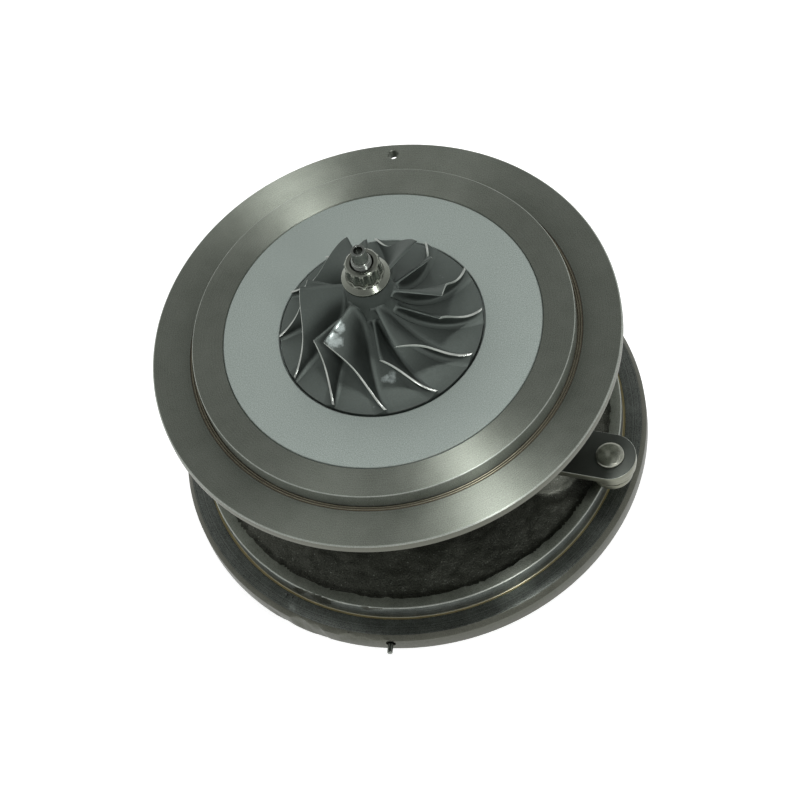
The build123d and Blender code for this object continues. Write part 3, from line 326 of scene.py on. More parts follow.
# Cast aluminium wheel, vibratory finished: satin grey with soft cloudy shading, and a few worn spots that are
# glossier and carry a pale painted sheen.
WHEEL_ALUMINIUM = Metal("vibratory_finished_aluminium_with_painted_sheen", "#676e6a", "#4c524e", 0.6, Grain.BLASTED, 0.5,
                        0.008, speckle=0.25, stain_mm=8.0,
                        rub_and_sheen_spots=((-10.6, -15.8, 23.9, 5.0), (-8.3, -11.9, 24.8, 3.8),
                              (3.6, -19.2, 7.9, 3.6)))
# The same casting where the blade tips are turned: bright, with fine marks.
TURNED_ALUMINIUM = Metal("turned_aluminium", "#ced3cd", "#9fa49e", 0.36, Grain.TURNED, 0.2, 0.003,
                         anisotropy=0.5)
# Steel nut, barrel plated: semi-bright with a faint warm cast.
NUT_STEEL = Metal("plated_nut_steel", "#868a81", "#595d54", 0.24, Grain.BLASTED, 1.5, 0.001,
                  speckle=0.1, stain_mm=5.0)
# Steel shaft, ground and turned: bright.
SHAFT_STEEL = Metal("ground_shaft_steel", "#878b86", "#5a5e59", 0.2, Grain.TURNED, 0.15, 0.002,
                    anisotropy=0.4)
# Blackened steel plate of the lever: dark satin.
LEVER_STEEL = Metal("blackened_lever_steel", "#5c605c", "#41443f", 0.46, Grain.ROLLED, 0.5, 0.006,
                    speckle=0.2)
# Sheared or turned side of the same steel: paler, because it rubs bright.
EDGE_STEEL = Metal("sheared_edge_steel", "#828578", "#605f53", 0.42, Grain.ROLLED, 0.3, 0.008)
# Upset head of the lever's pin: mottled, from the punch, with painted glints, pale specks in its colour.
PIN_STEEL = Metal("peened_pin_steel_with_painted_glints", "#c0c3b6", "#6c6e65", 0.34, Grain.CAST, 0.9, 0.05, speckle=0.8,
                  stain_mm=2.4, stain=0.9, painted_glint=0.64)
# Screws with a phosphate coat: dark grey and matt.
SCREW_STEEL = Metal("phosphated_screw_steel", "#55565a", "#3c3d40", 0.44, Grain.BLASTED, 0.3, 0.004)
# Heat shield, pressed from stainless sheet: silky, with a faint straw tint.
SHEET_STEEL = Metal("pressed_sheet_steel", "#a39d8e", "#7d776a", 0.33, Grain.ROLLED, 0.5, 0.004,
                    stain_mm=12.0)
# Turbine wheel, investment cast from a nickel alloy: warm grey and matt.
NICKEL_CASTING = Metal("cast_nickel_alloy", "#827b70", "#5c564e", 0.46, Grain.CAST, 0.7, 0.03,
                       speckle=0.4, stain_mm=8.0)
# The same alloy where the blade tips are ground: paler and satin.
GROUND_NICKEL = Metal("ground_nickel_alloy", "#a59c8e", "#857c6f", 0.32, Grain.TURNED, 0.2, 0.002)
# Ground iron seal rings and the ground steel bush.
GROUND_IRON = Metal("ground_ring_iron", "#7d7d78", "#62625e", 0.3, Grain.TURNED, 0.2, 0.002)
# Oil dried in a groove of the turned iron: a thin golden film, painted pale as a highlight line.
OIL_AND_HIGHLIGHT_IRON = Metal("oil_film_and_painted_highlight_iron", "#dcd3ae", "#a39c80", 0.34, Grain.TURNED, 0.2, 0.0,
                   anisotropy=0.85)
# An edge of the same iron, painted lighter: a thin painted highlight line where the edge catches the light.
PAINTED_HIGHLIGHT_EDGE = Metal("painted_highlight_iron_edge", "#b4b9b1", "#80857e", 0.4, Grain.TURNED, 0.3, 0.003,
                       speckle=1.2, anisotropy=0.85)
# Floor of a groove in the same iron: dark brown, partly dirt that stays in the oil and partly painted shade
# in the groove.
GROOVE_DIRT_AND_SHADE_IRON = Metal("groove_dirt_and_painted_shade_iron", "#5b5549", "#46413a", 0.5, Grain.TURNED, 0.3, 0.002)
# Ridge between two such grooves: a faint cream line.
RIDGE_IRON = Metal("oil_stained_iron_ridge", "#9a9884", "#757363", 0.42, Grain.TURNED, 0.3, 0.002,
                   speckle=1.0, anisotropy=0.94)
# Rim of the compressor flange: the same iron with coarser marks, browner than the face.
RIM_IRON = Metal("coarse_turned_rim_iron", "#64655b", "#494b42", 0.46, Grain.TURNED, 0.34, 0.006,
                 speckle=0.9)
# Rim of the turbine flange: coarse and browned by heat.
BROWNED_IRON = Metal("heat_browned_rim_iron", "#5f6058", "#3f4039", 0.44, Grain.TURNED, 0.4, 0.006,
                     speckle=1.0, stain_mm=6.0)
# Land of the ledge on the turbine flange: satin, and painted lighter than the turned iron as painted light,
# so that it stays grey in the flange's shade.
PAINTED_LIGHT_LEDGE_IRON = Metal("painted_light_satin_turned_iron", "#a7aca1", "#747970", 0.42, Grain.TURNED, 0.3, 0.004, speckle=1.1,
                   anisotropy=0.92, grit=0.9)
# Leaded bronze, bored and turned: dull gold.
BRONZE = Metal("turned_bearing_bronze", "#b08a52", "#8a6a3c", 0.3, Grain.TURNED, 0.25, 0.003)
# Moulded seal rubber: black, soft gloss.
RUBBER = Metal("moulded_seal_rubber", "#161616", "#0e0e0e", 0.55, Grain.BLASTED, 0.4, 0.004,
               metallic=0.0)


# Mesh helpers


def polar(radius: float, azimuth: float, z: float = 0.0) -> Vector:
    """Gives the point at a radius, an azimuth in degrees and a height."""
    return Vector((radius * math.cos(math.radians(azimuth)),
                   radius * math.sin(math.radians(azimuth)), z))


def lift(height: float) -> Vector:
    """Gives a step along Z."""
    return Vector((0, 0, height))


def rings_of(profile: Sequence[Point], azimuths: Sequence[float]) -> list[list[Vector]]:
    """Gives a ring of points for each radius and height of a profile."""
    return [[polar(r, a, z) for a in azimuths] for r, z in profile]


def rounded(profile: Sequence[Point], radius: float, steps: int = 3, closed: bool = True) -> list[Point]:
    """Rounds the corners of a profile with short arcs.

    Args:
        profile: The corners, in order.
        radius: The largest radius; a short side makes it smaller.
        steps: How many spans each arc has.
        closed: Whether the last corner joins the first.

    Returns:
        The points of the rounded profile.
    """
    count = len(profile)
    out: list[Point] = []
    for i, corner in enumerate(profile):
        if not closed and i in (0, count - 1):
            out.append(corner)
            continue
        here = Vector(corner)
        back = Vector(profile[i - 1]) - here
        ahead = Vector(profile[(i + 1) % count]) - here
        turn = back.angle(ahead)
        if turn > math.radians(172):
            out.append(corner)
            continue
        reach = min(radius / math.tan(turn / 2), 0.42 * back.length, 0.42 * ahead.length)
        start = here + back.normalized() * reach
        end = here + ahead.normalized() * reach
        for k in range(steps + 1):
            t = k / steps
            point = start * (1 - t) ** 2 + here * (2 * t * (1 - t)) + end * t ** 2
            out.append((point.x, point.y))
    return out


def placed(name: str, data: bpy.types.ID) -> bpy.types.Object:
    """Puts a new object with this data into the scene.

    Args:
        name: The object's name.
        data: Its mesh, camera or light.

    Returns:
        The new object.
    """
    made = bpy.data.objects.new(name, data)
    bpy.context.scene.collection.objects.link(made)
    return made


def meshed(name: str, skin: Skin, finishes: Sequence[Metal]) -> bpy.types.Object:
    """Makes a mesh object from points in millimetres, with its finishes as material slots.

    Args:
        name: The name of the object and its mesh.
        skin: Points and rows of vertex numbers.
        finishes: The finishes, in the order of the slots.

    Returns:
        The new object.
    """
    mesh = bpy.data.meshes.new(name)
    mesh.from_pydata([Vector(v) * MM for v in skin[0]], [], [list(f) for f in skin[1]])
    for finish in finishes:
        mesh.materials.append(finish.material())
    return placed(name, mesh)


def piece(name: str, skin: Skin, body: Body, finishes: Sequence[Metal],
          marks: Sequence[int] | None = None, crease: float = 32.0) -> bpy.types.Object:
    """Makes a dressed mesh object that rides on a body.

    Args:
        name: The piece's name.
        skin: Points in millimetres and rows of vertex numbers.
        body: The body that it rides on.
        finishes: The finishes of its material slots.
        marks: The slot of each face, if not all are the first.
        crease: The angle in degrees above which an edge stays sharp.

    Returns:
        The new object.
    """
    made = meshed(name, skin, finishes)
    if marks is not None:
        made.data.polygons.foreach_set("material_index", list(marks))
    tidy(made, crease)
    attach(made, body.value)
    return made


def tool(skin: Skin, *finishes: Metal) -> bpy.types.Object:
    """Makes an object that only cuts or is cut, with the finish that its faces leave.

    Args:
        skin: Points in millimetres and rows of vertex numbers.
        *finishes: The finishes of its slots.

    Returns:
        The new object.
    """
    made = meshed("tool", skin, finishes)
    turn_outwards(made.data)
    return made


def turn_outwards(mesh: bpy.types.Mesh) -> None:
    """Welds the seams and makes the faces point outwards.

    Args:
        mesh: The mesh to change.
    """
    work = bmesh.new()
    work.from_mesh(mesh)
    bmesh.ops.remove_doubles(work, verts=work.verts, dist=WELD_M)
    bmesh.ops.recalc_face_normals(work, faces=work.faces)
    work.to_mesh(mesh)
    work.free()


def tidy(made: bpy.types.Object, crease: float) -> None:
    """Makes the faces point outwards and smooths all but the sharp edges.

    Args:
        made: The object.
        crease: The angle in degrees above which an edge stays sharp.
    """
    turn_outwards(made.data)
    made.data.shade_smooth()
    made.data.set_sharp_from_angle(angle=math.radians(crease))


def lathe(profile: Sequence[Point], segments: int = 240, centre: Vector = ORIGIN) -> Skin:
    """Turns a closed profile about a line parallel to Z.

    Args:
        profile: Radius and height of each point; a profile that starts and ends on the axis is
            closed by the axis.
        segments: How many steps make the full turn.
        centre: Where the line stands.

    Returns:
        The vertices and the faces.
    """
    capped = abs(profile[0][0]) < 1e-6 and abs(profile[-1][0]) < 1e-6
    inner = profile[1:-1] if capped else profile
    verts = [polar(r, 360 * k / segments, z) + centre for k in range(segments) for r, z in inner]
    n = len(inner)
    faces: list[tuple[int, ...]] = []
    for k in range(segments):
        a, b = k * n, ((k + 1) % segments) * n
        for i in range(n - 1 if capped else n):
            j = (i + 1) % n
            faces.append((a + i, b + i, b + j, a + j))
    if capped:
        verts += [centre + lift(profile[0][1]), centre + lift(profile[-1][1])]
        first, last = len(verts) - 2, len(verts) - 1
        for k in range(segments):
            a, b = k * n, ((k + 1) % segments) * n
            faces.append((first, b, a))
            faces.append((last, a + n - 1, b + n - 1))
    return verts, faces


def layers(rings: Sequence[Sequence[Vector]]) -> Skin:
    """Skins a stack of rings that have the same number of points, and caps both ends.

    Args:
        rings: The rings, from one end to the other.

    Returns:
        The vertices and the faces, with the two caps last.
    """
    n = len(rings[0])
    verts = [Vector(p) for ring in rings for p in ring]
    faces: list[tuple[int, ...]] = []
    for k in range(len(rings) - 1):
        for i in range(n):
            j = (i + 1) % n
            faces.append((k * n + i, k * n + j, (k + 1) * n + j, (k + 1) * n + i))
    faces.append(tuple(range(n)))
    faces.append(tuple(range((len(rings) - 1) * n, len(rings) * n)))
    return verts, faces


def slab(outline: Sequence[Vector], low: float, high: float, edge: float) -> Skin:
    """Makes a flat plate of a convex outline, with rounded upper and lower edges.

    Args:
        outline: The outline's points, counter-clockwise.
        low: Height of the lower face.
        high: Height of the upper face.
        edge: Radius of the edges.

    Returns:
        The vertices and the faces.
    """
    count = len(outline)
    steps = 3
    normals = []
    for i in range(count):
        along = outline[(i + 1) % count] - outline[i - 1]
        normals.append(Vector((along.y, -along.x, 0)).normalized())
    rings = []
    for base, sign in ((low, 1), (high, -1)):
        arc = [math.pi / 2 * k / steps for k in range(steps + 1)]
        for turn in arc if sign > 0 else reversed(arc):
            inset = edge * (1 - math.sin(turn))
            height = base + sign * edge * (1 - math.cos(turn))
            rings.append([Vector((p.x, p.y, 0)) - n * inset + lift(height)
                          for p, n in zip(outline, normals)])
    return layers(rings)


def merged(*parts: Skin) -> Skin:
    """Puts several sets of vertices and faces into one.

    Args:
        *parts: The skins.

    Returns:
        One skin of them all.
    """
    verts: list = []
    faces: list = []
    for part_verts, part_faces in parts:
        start = len(verts)
        verts += part_verts
        faces += [tuple(i + start for i in face) for face in part_faces]
    return verts, faces


def combine(target: bpy.types.Object, others: Sequence[bpy.types.Object], operation: str) -> None:
    """Cuts, joins or intersects a mesh with others, one after another, and deletes them.

    Args:
        target: The object to change.
        others: The objects that change it.
        operation: DIFFERENCE, UNION or INTERSECT.
    """
    for other in others:
        step = target.modifiers.new("step", "BOOLEAN")
        step.operation = operation
        step.solver = "MANIFOLD"
        step.material_mode = "TRANSFER"
        step.object = other
        applied(target)
        bpy.data.objects.remove(other)


def applied(target: bpy.types.Object) -> None:
    """Replaces a mesh by what its modifiers make of it.

    Args:
        target: The object to change.
    """
    bpy.context.view_layer.update()
    graph = bpy.context.evaluated_depsgraph_get()
    result = bpy.data.meshes.new_from_object(target.evaluated_get(graph), depsgraph=graph)
    old = target.data
    target.modifiers.clear()
    target.data = result
    bpy.data.meshes.remove(old)


def rod(radius: float, start: Vector, end: Vector, segments: int = 48) -> Skin:
    """Makes a plain round bar between two points, as a cutter or a blank.

    Args:
        radius: Its radius.
        start: The middle of one end.
        end: The middle of the other end.
        segments: How many sides it has.

    Returns:
        The vertices and the faces.
    """
    axis = (end - start).normalized()
    side = axis.orthogonal().normalized()
    up = axis.cross(side)
    rings = [[centre + (side * math.cos(a) + up * math.sin(a)) * radius
              for a in (2 * math.pi * k / segments for k in range(segments))]
             for centre in (start, end)]
    return layers(rings)


def block(middle: Vector, azimuth: float, half_l: float, half_w: float, height: float) -> Skin:
    """Makes an upright block, turned about Z, as stock or as a cutter.

    Args:
        middle: The middle of its foot.
        azimuth: Where its length points.
        half_l: Half its length.
        half_w: Half its width.
        height: Its height.

    Returns:
        The vertices and the faces.
    """
    along, across = polar(half_l, azimuth), polar(half_w, azimuth + 90)
    base = [middle + along * i + across * j for i, j in ((-1, -1), (1, -1), (1, 1), (-1, 1))]
    return layers([base, [p + lift(height) for p in base]])


def turned_about_y(profile: Sequence[Point], foot: Vector, outward: int) -> Skin:
    """Turns a profile about a line along Y, where its heights run outwards.

    Args:
        profile: Radius and height of each point.
        foot: Where height nought lies.
        outward: One if outwards is along Y, minus one if against it.

    Returns:
        The vertices and the faces.
    """
    verts, faces = lathe(profile, 60)
    return [foot + Vector((v.x, outward * v.z, v.y)) for v in verts], faces


def finish_faces(made: bpy.types.Object, finish: Metal,
                 chosen: Callable[[float, float, Vector], bool]) -> None:
    """Gives a finish to the faces that a test picks.

    Args:
        made: The object.
        finish: The finish.
        chosen: The test, which gets the radius and the height of a face's middle in millimetres,
            and its normal.
    """
    made.data.materials.append(finish.material())
    last = len(made.data.materials) - 1
    for polygon in made.data.polygons:
        x, y, z = polygon.center / MM
        if chosen(math.hypot(x, y), z, polygon.normal):
            polygon.material_index = last


def stand_in(made: bpy.types.Object, node: str) -> None:
    """Lets a piece stand for a node of the frame.

    Args:
        made: The piece.
        node: The node that it replaces.
    """
    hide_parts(node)
    log.info("piece %s stands for %s", made.name, node)


# The still parts above the housing


@dataclass
class Backplate:
    """Turned ring with the compressor flange and the spigot."""

    insert_r: float = 47.5
    clamp_r: float = 50.0
    clamp_z: float = -5.0
    joint_z: float = -9.0
    spigot_r: float = 56.8
    spigot_h: float = 5.2
    relief_d: float = 0.45
    hub_r: float = 61.0
    flange_r: float = 70.0
    flange_t: float = 3.4
    chamfer: float = 0.38
    mark_pitch: float = 0.7
    mark_w: float = 0.3
    mark_depth: float = 0.22
    mark_slope: float = 0.06
    ridge_z: float = -0.03
    dowel_y: float = 66.1
    dowel_r: float = 1.5
    dowel_sink: float = 0.25
    screw_pitch_r: float = 53.5
    screw_r: float = 2.5
    screw_l: float = 8.3
    seat_edge: float = 0.3
    spigot_edge: float = 0.25

    def profile(self) -> list[Point]:
        """Gives the section, with the tool marks beside the relief groove.

        Returns:
            Radius and height of each corner.
        """
        marks: list[Point] = []
        for k in (1, 2):
            start = self.spigot_r + k * self.mark_pitch
            end = start + self.mark_w
            marks += [(start - self.mark_slope, self.ridge_z), (start, -self.mark_depth),
                      (end, -self.mark_depth), (end + self.mark_slope, self.ridge_z if k == 1 else 0.0)]
        return [
            (self.insert_r, self.clamp_z),
            (self.insert_r, self.spigot_h - self.seat_edge),
            (self.insert_r + self.seat_edge, self.spigot_h),
            (self.spigot_r - self.spigot_edge, self.spigot_h),
            (self.spigot_r, self.spigot_h - self.spigot_edge),
            (self.spigot_r, -self.relief_d),
            (self.spigot_r + self.mark_w, -self.relief_d),
            (self.spigot_r + self.mark_w + self.mark_slope, self.ridge_z),
            *marks,
            (self.flange_r - self.chamfer, 0.0),
            (self.flange_r, -self.chamfer),
            (self.flange_r, -self.flange_t + self.chamfer),
            (self.flange_r - self.chamfer, -self.flange_t),
            (self.hub_r + 2, -self.flange_t),
            (self.hub_r + 0.6, -self.flange_t - 0.6),
            (self.hub_r, -self.flange_t - 2),
            (self.hub_r, self.joint_z),
            (self.clamp_r, self.joint_z),
            (self.clamp_r, self.clamp_z),
        ]

    def build(self) -> None:
        """Turns the ring and drills its holes."""
        skin = lathe(rounded(self.profile(), 0.12), segments=360)
        made = piece("backplate_ring", skin, Body.HOUSING, [TURNED_IRON])
        below = -self.flange_t - 1
        sink = [(0, 1), (self.dowel_r + self.dowel_sink + 1, 1), (self.dowel_r, -self.dowel_sink),
                (self.dowel_r, below), (0, below)]
        cutters = [tool(lathe(sink, 48, Vector((0, self.dowel_y, 0))), TURNED_IRON)]
        for k in range(4):
            foot = polar(self.screw_pitch_r, 45 + 90 * k, self.joint_z - 1)
            cutters.append(tool(rod(self.screw_r, foot, foot + lift(self.screw_l)), TURNED_IRON))
        combine(made, cutters, "DIFFERENCE")
        tidy(made, 32)
        self.finish(made)
        stand_in(made, "compressor_backplate")

    def finish(self, made: bpy.types.Object) -> None:
        """Gives the tool marks, the edges and the rim their own finishes; the edges carry a painted highlight
        and the groove floors partly painted shade.

        Args:
            made: The turned ring.
        """
        marks_end = self.spigot_r + 2 * self.mark_pitch + self.mark_w + self.mark_slope
        face_end = self.flange_r - self.chamfer - 0.1
        finish_faces(made, RIDGE_IRON, lambda r, z, _: (
            2 * self.ridge_z < z < -0.02 and self.spigot_r < r < marks_end))
        # Groove floors: dirt tint and painted groove shade.
        finish_faces(made, GROOVE_DIRT_AND_SHADE_IRON, lambda r, z, _: (
            -0.6 < z < 2 * self.ridge_z and self.spigot_r + 0.02 < r < marks_end))
        # Spigot and flange edges painted lighter as a highlight line.
        finish_faces(made, PAINTED_HIGHLIGHT_EDGE, lambda r, z, normal: 0.3 < normal.z < 0.985 and (
            z > self.spigot_h - 0.3 and r > self.insert_r + 1 or r > face_end))
        finish_faces(made, RIM_IRON, lambda r, _, normal: normal.z < 0.3 and r > face_end)


@dataclass
class SealPlate:
    """Blasted disc with the pocket for the compressor wheel."""

    bore_r: float = 8.1
    seat_z: float = -3.0
    bottom_z: float = -10.5
    cone_r: float = 13.0
    pocket_r: float = 30.5
    pocket_z: float = 3.7
    pocket_edge: float = 0.25
    top_z: float = 5.2
    insert_r: float = 47.36
    insert_edge: float = 0.25
    clamp_r: float = 49.98
    clamp_z: float = -5.0
    joint_z: float = -9.0
    register_r: float = 35.98
    register_w: float = 4.0
    register_h: float = 3.7

    def build(self) -> None:
        """Turns the disc."""
        profile = [
            (self.bore_r, self.seat_z),
            (self.cone_r, self.seat_z),
            (self.pocket_r, self.pocket_z),
            (self.pocket_r, self.top_z - self.pocket_edge),
            (self.pocket_r + self.pocket_edge, self.top_z),
            (self.insert_r - self.insert_edge, self.top_z),
            (self.insert_r, self.top_z - self.insert_edge),
            (self.insert_r, self.clamp_z),
            (self.clamp_r, self.clamp_z),
            (self.clamp_r, self.joint_z),
            (self.register_r, self.joint_z),
            (self.register_r, self.joint_z - self.register_h),
            (self.register_r - self.register_w, self.joint_z - self.register_h),
            (self.register_r - self.register_w, self.bottom_z),
            (self.bore_r, self.bottom_z),
        ]
        skin = lathe(rounded(profile, 0.1), segments=360)
        made = piece("seal_plate_disc", skin, Body.HOUSING, [BLASTED_ALUMINIUM])
        stand_in(made, "seal_plate")


# Bladed wheels


@dataclass
class Blade:
    """One blade between two quarter ellipses, where phi runs from 0 to 90 degrees.

    The pairs hub and tip are the half axes of the ellipses, across and along the axis. The pair lean
    is how far the root lags behind the tip where phi is 0 and where it is 90, in degrees.
    """

    corner_r: float
    hub_corner_z: float
    tip_corner_z: float
    hub: Pair
    tip: Pair
    turn: Callable[[float], float]
    lean: Pair
    tip_t: float
    root_t: float
    sink: float
    fillet: float
    crown: float = 0.1
    stations: int = 36
    nose: float = 0.2

    def edge(self, radii: Pair, corner_z: float, phi: float) -> Point:
        """Gives the radius and height of one edge of the blade.

        Args:
            radii: The two half axes of the edge's ellipse.
            corner_z: The height of the ellipse's centre.
            phi: Where along the edge, from 0 to 90 degrees.

        Returns:
            The radius and the height.
        """
        along = math.radians(phi)
        return self.corner_r - radii[0] * math.cos(along), corner_z - radii[1] * math.sin(along)

    def hub_arc(self) -> list[Point]:
        """Gives the section of the hub under the blade."""
        steps = 40
        return [self.edge(self.hub, self.hub_corner_z, 90 * k / steps) for k in range(steps + 1)]

    def widening(self, radii: Pair, corner_z: float, phi: float) -> float:
        """Gives how much thicker the blade is round the axis than across.

        Args:
            radii: The two half axes of the edge's ellipse.
            corner_z: The height of the ellipse's centre.
            phi: Where along the edge.

        Returns:
            A factor on the thickness, one or more.
        """
        before = Vector(self.edge(radii, corner_z, phi - 1))
        after = Vector(self.edge(radii, corner_z, phi + 1))
        swing = self.edge(radii, corner_z, phi)[0] * math.radians(self.turn(phi + 1) - self.turn(phi - 1))
        return math.hypot(1, swing / (after - before).length)

    def section(self, phi: float, thin: float, flaring: float = 1.0) -> list[Vector]:
        """Gives the loop of one section, from one root round the tip to the other root.

        Args:
            phi: Where the section is.
            thin: A factor on its thickness, for the rounded free edge.
            flaring: How much of the root's fillet it has.

        Returns:
            The points of the loop; the middle two are the corners of the tip.
        """
        tip_azimuth = self.turn(phi)
        root_azimuth = tip_azimuth - self.lean[0] - (self.lean[1] - self.lean[0]) * phi / 90
        root = polar(*self._on_edge(self.hub, self.hub_corner_z, phi, root_azimuth))
        tip = polar(*self._on_edge(self.tip, self.tip_corner_z, phi, tip_azimuth))
        span = tip - root
        length = span.length
        span.normalize()
        middle = (root + tip) / 2
        tangent = Vector((-middle.y, middle.x, 0)).normalized()
        root_wide = self.widening(self.hub, self.hub_corner_z, phi)
        tip_wide = self.widening(self.tip, self.tip_corner_z, phi)
        side = []
        for reach in self._reaches(length):
            share = max(0.0, reach) / length
            half = (self.root_t * root_wide * (1 - share) + self.tip_t * tip_wide * share) / 2
            flare = max(0.0, self.fillet - max(0.0, reach)) / self.fillet
            fillet = self.fillet * (1 - math.sqrt(max(0.0, 1 - flare ** 2)))
            half = half * thin + fillet * root_wide * flaring
            if reach >= length - 1e-6:
                half -= self.crown * tip_wide
            side.append((root + span * reach, half))
        left = [centre - tangent * half for centre, half in side]
        right = [centre + tangent * half for centre, half in reversed(side)]
        return left + right

    def _on_edge(self, radii: Pair, corner_z: float, phi: float, azimuth: float
                 ) -> tuple[float, float, float]:
        """Gives radius, azimuth and height of a point on one edge."""
        radius, height = self.edge(radii, corner_z, phi)
        return radius, azimuth, height

    def _reaches(self, length: float) -> list[float]:
        """Gives the distances from the hub at which a section has points.

        Args:
            length: How far the tip is from the hub there.

        Returns:
            The distances, from below the hub to the tip.
        """
        foot = [-self.sink] + [self.fillet * f for f in (0.0, 0.12, 0.3, 0.55, 1.0)]
        body = [self.fillet + (length - self.crown - self.fillet) * f for f in (0.25, 0.5, 0.75, 1.0)]
        return [r for r in foot if r < length * 0.8] + body + [length]

    def shell(self, start: float, swing: float) -> tuple[Skin, list[int]]:
        """Skins the blade from its free edge at phi = start to its edge at the rim.

        Args:
            start: Where the free edge is.
            swing: How far the blade stands round the axis from the first one.

        Returns:
            The skin and each face's slot, 1 on the turned tip and 0 elsewhere.
        """
        # Degrees behind the free edge, share of the thickness and share of the root's fillet.
        nose = ((0.0, self.nose, 0.05), (0.25, 0.6, 0.25), (0.7, 0.85, 0.55), (1.5, 1.0, 0.85))
        loops = [self.section(start + behind, thin, flaring) for behind, thin, flaring in nose]
        loops += [self.section(start + (90 - start) * (k / self.stations), 1.0)
                  for k in range(1, self.stations + 1)]
        about = Matrix.Rotation(math.radians(swing), 3, "Z")
        skin = layers([[about @ p for p in loop] for loop in loops])
        n = len(loops[0])
        tip_quads = {n // 2 - 2, n // 2 - 1, n // 2}
        caps = [0, 0]
        return skin, [1 if i % n in tip_quads else 0 for i in range(len(skin[1]) - 2)] + caps


def bladed(hub: Skin, blade: Blade, places: Iterable[Pair]) -> tuple[Skin, list[int]]:
    """Puts a wheel's blades on its hub.

    Args:
        hub: The hub's skin.
        blade: The blade.
        places: For each blade, where its free edge is and how far round it stands.

    Returns:
        The wheel's skin and each face's slot.
    """
    skins = [hub]
    marks = [0] * len(hub[1])
    for start, swing in places:
        skin, slots = blade.shell(start, swing)
        skins.append(skin)
        marks += slots
    return merged(*skins), marks


@dataclass
class CompressorWheel:
    """Six full blades and six splitters on a curved hub."""

    wheel_r: float = 30.0
    nose_r: float = 7.0
    nose_z: float = 31.4
    top_z: float = 26.0
    shroud_z: float = 24.0
    exit_z: float = 5.5
    exit_w: float = 2.0
    rim_t: float = 1.2
    cone_r: float = 13.0
    back_z: float = -2.4
    boss_r: float = 9.5
    seat_z: float = -3.0
    bore_r: float = 3.0
    inducer_r: float = 21.0
    count: int = 6
    azimuth: float = 52.3
    splitter_start: float = 14.0
    splitter_shift: float = -30.0
    twist: float = 20.6
    twist_rate: float = 15.9
    steady: float = 0.25

    def turn(self, phi: float) -> float:
        """Gives the azimuth of the blade's tip: quick at the inlet, then steady."""
        return self.azimuth + self.twist * (1 - math.exp(-phi / self.twist_rate)) + self.steady * phi

    def build(self) -> None:
        """Builds hub and blades as one piece."""
        blade = Blade(
            corner_r=self.wheel_r, hub_corner_z=self.top_z, tip_corner_z=self.shroud_z,
            hub=(self.wheel_r - self.nose_r, self.top_z - self.exit_z),
            tip=(self.wheel_r - self.inducer_r, self.shroud_z - self.exit_z - self.exit_w),
            turn=self.turn, lean=(5.0, 3.0), tip_t=0.64, root_t=1.15, sink=0.7, fillet=1.5,
        )
        back = rounded([
            (self.bore_r, self.seat_z), (self.boss_r, self.seat_z), (self.boss_r, self.back_z),
            (self.cone_r, self.back_z), (self.wheel_r, self.exit_z - self.rim_t),
            (self.wheel_r, self.exit_z - 0.02),
        ], 0.15, closed=False)
        hub = lathe([*back, *reversed(blade.hub_arc()), (self.nose_r, self.nose_z),
                     (self.bore_r, self.nose_z)])
        skin, marks = bladed(hub, blade, [
            (start, 360 / self.count * k + shift) for k in range(self.count)
            for start, shift in ((0.0, 0.0), (self.splitter_start, self.splitter_shift))])
        made = piece("compressor_wheel_casting", skin, Body.ROTOR,
                     [WHEEL_ALUMINIUM, TURNED_ALUMINIUM], marks, crease=40)
        stand_in(made, "compressor_wheel")


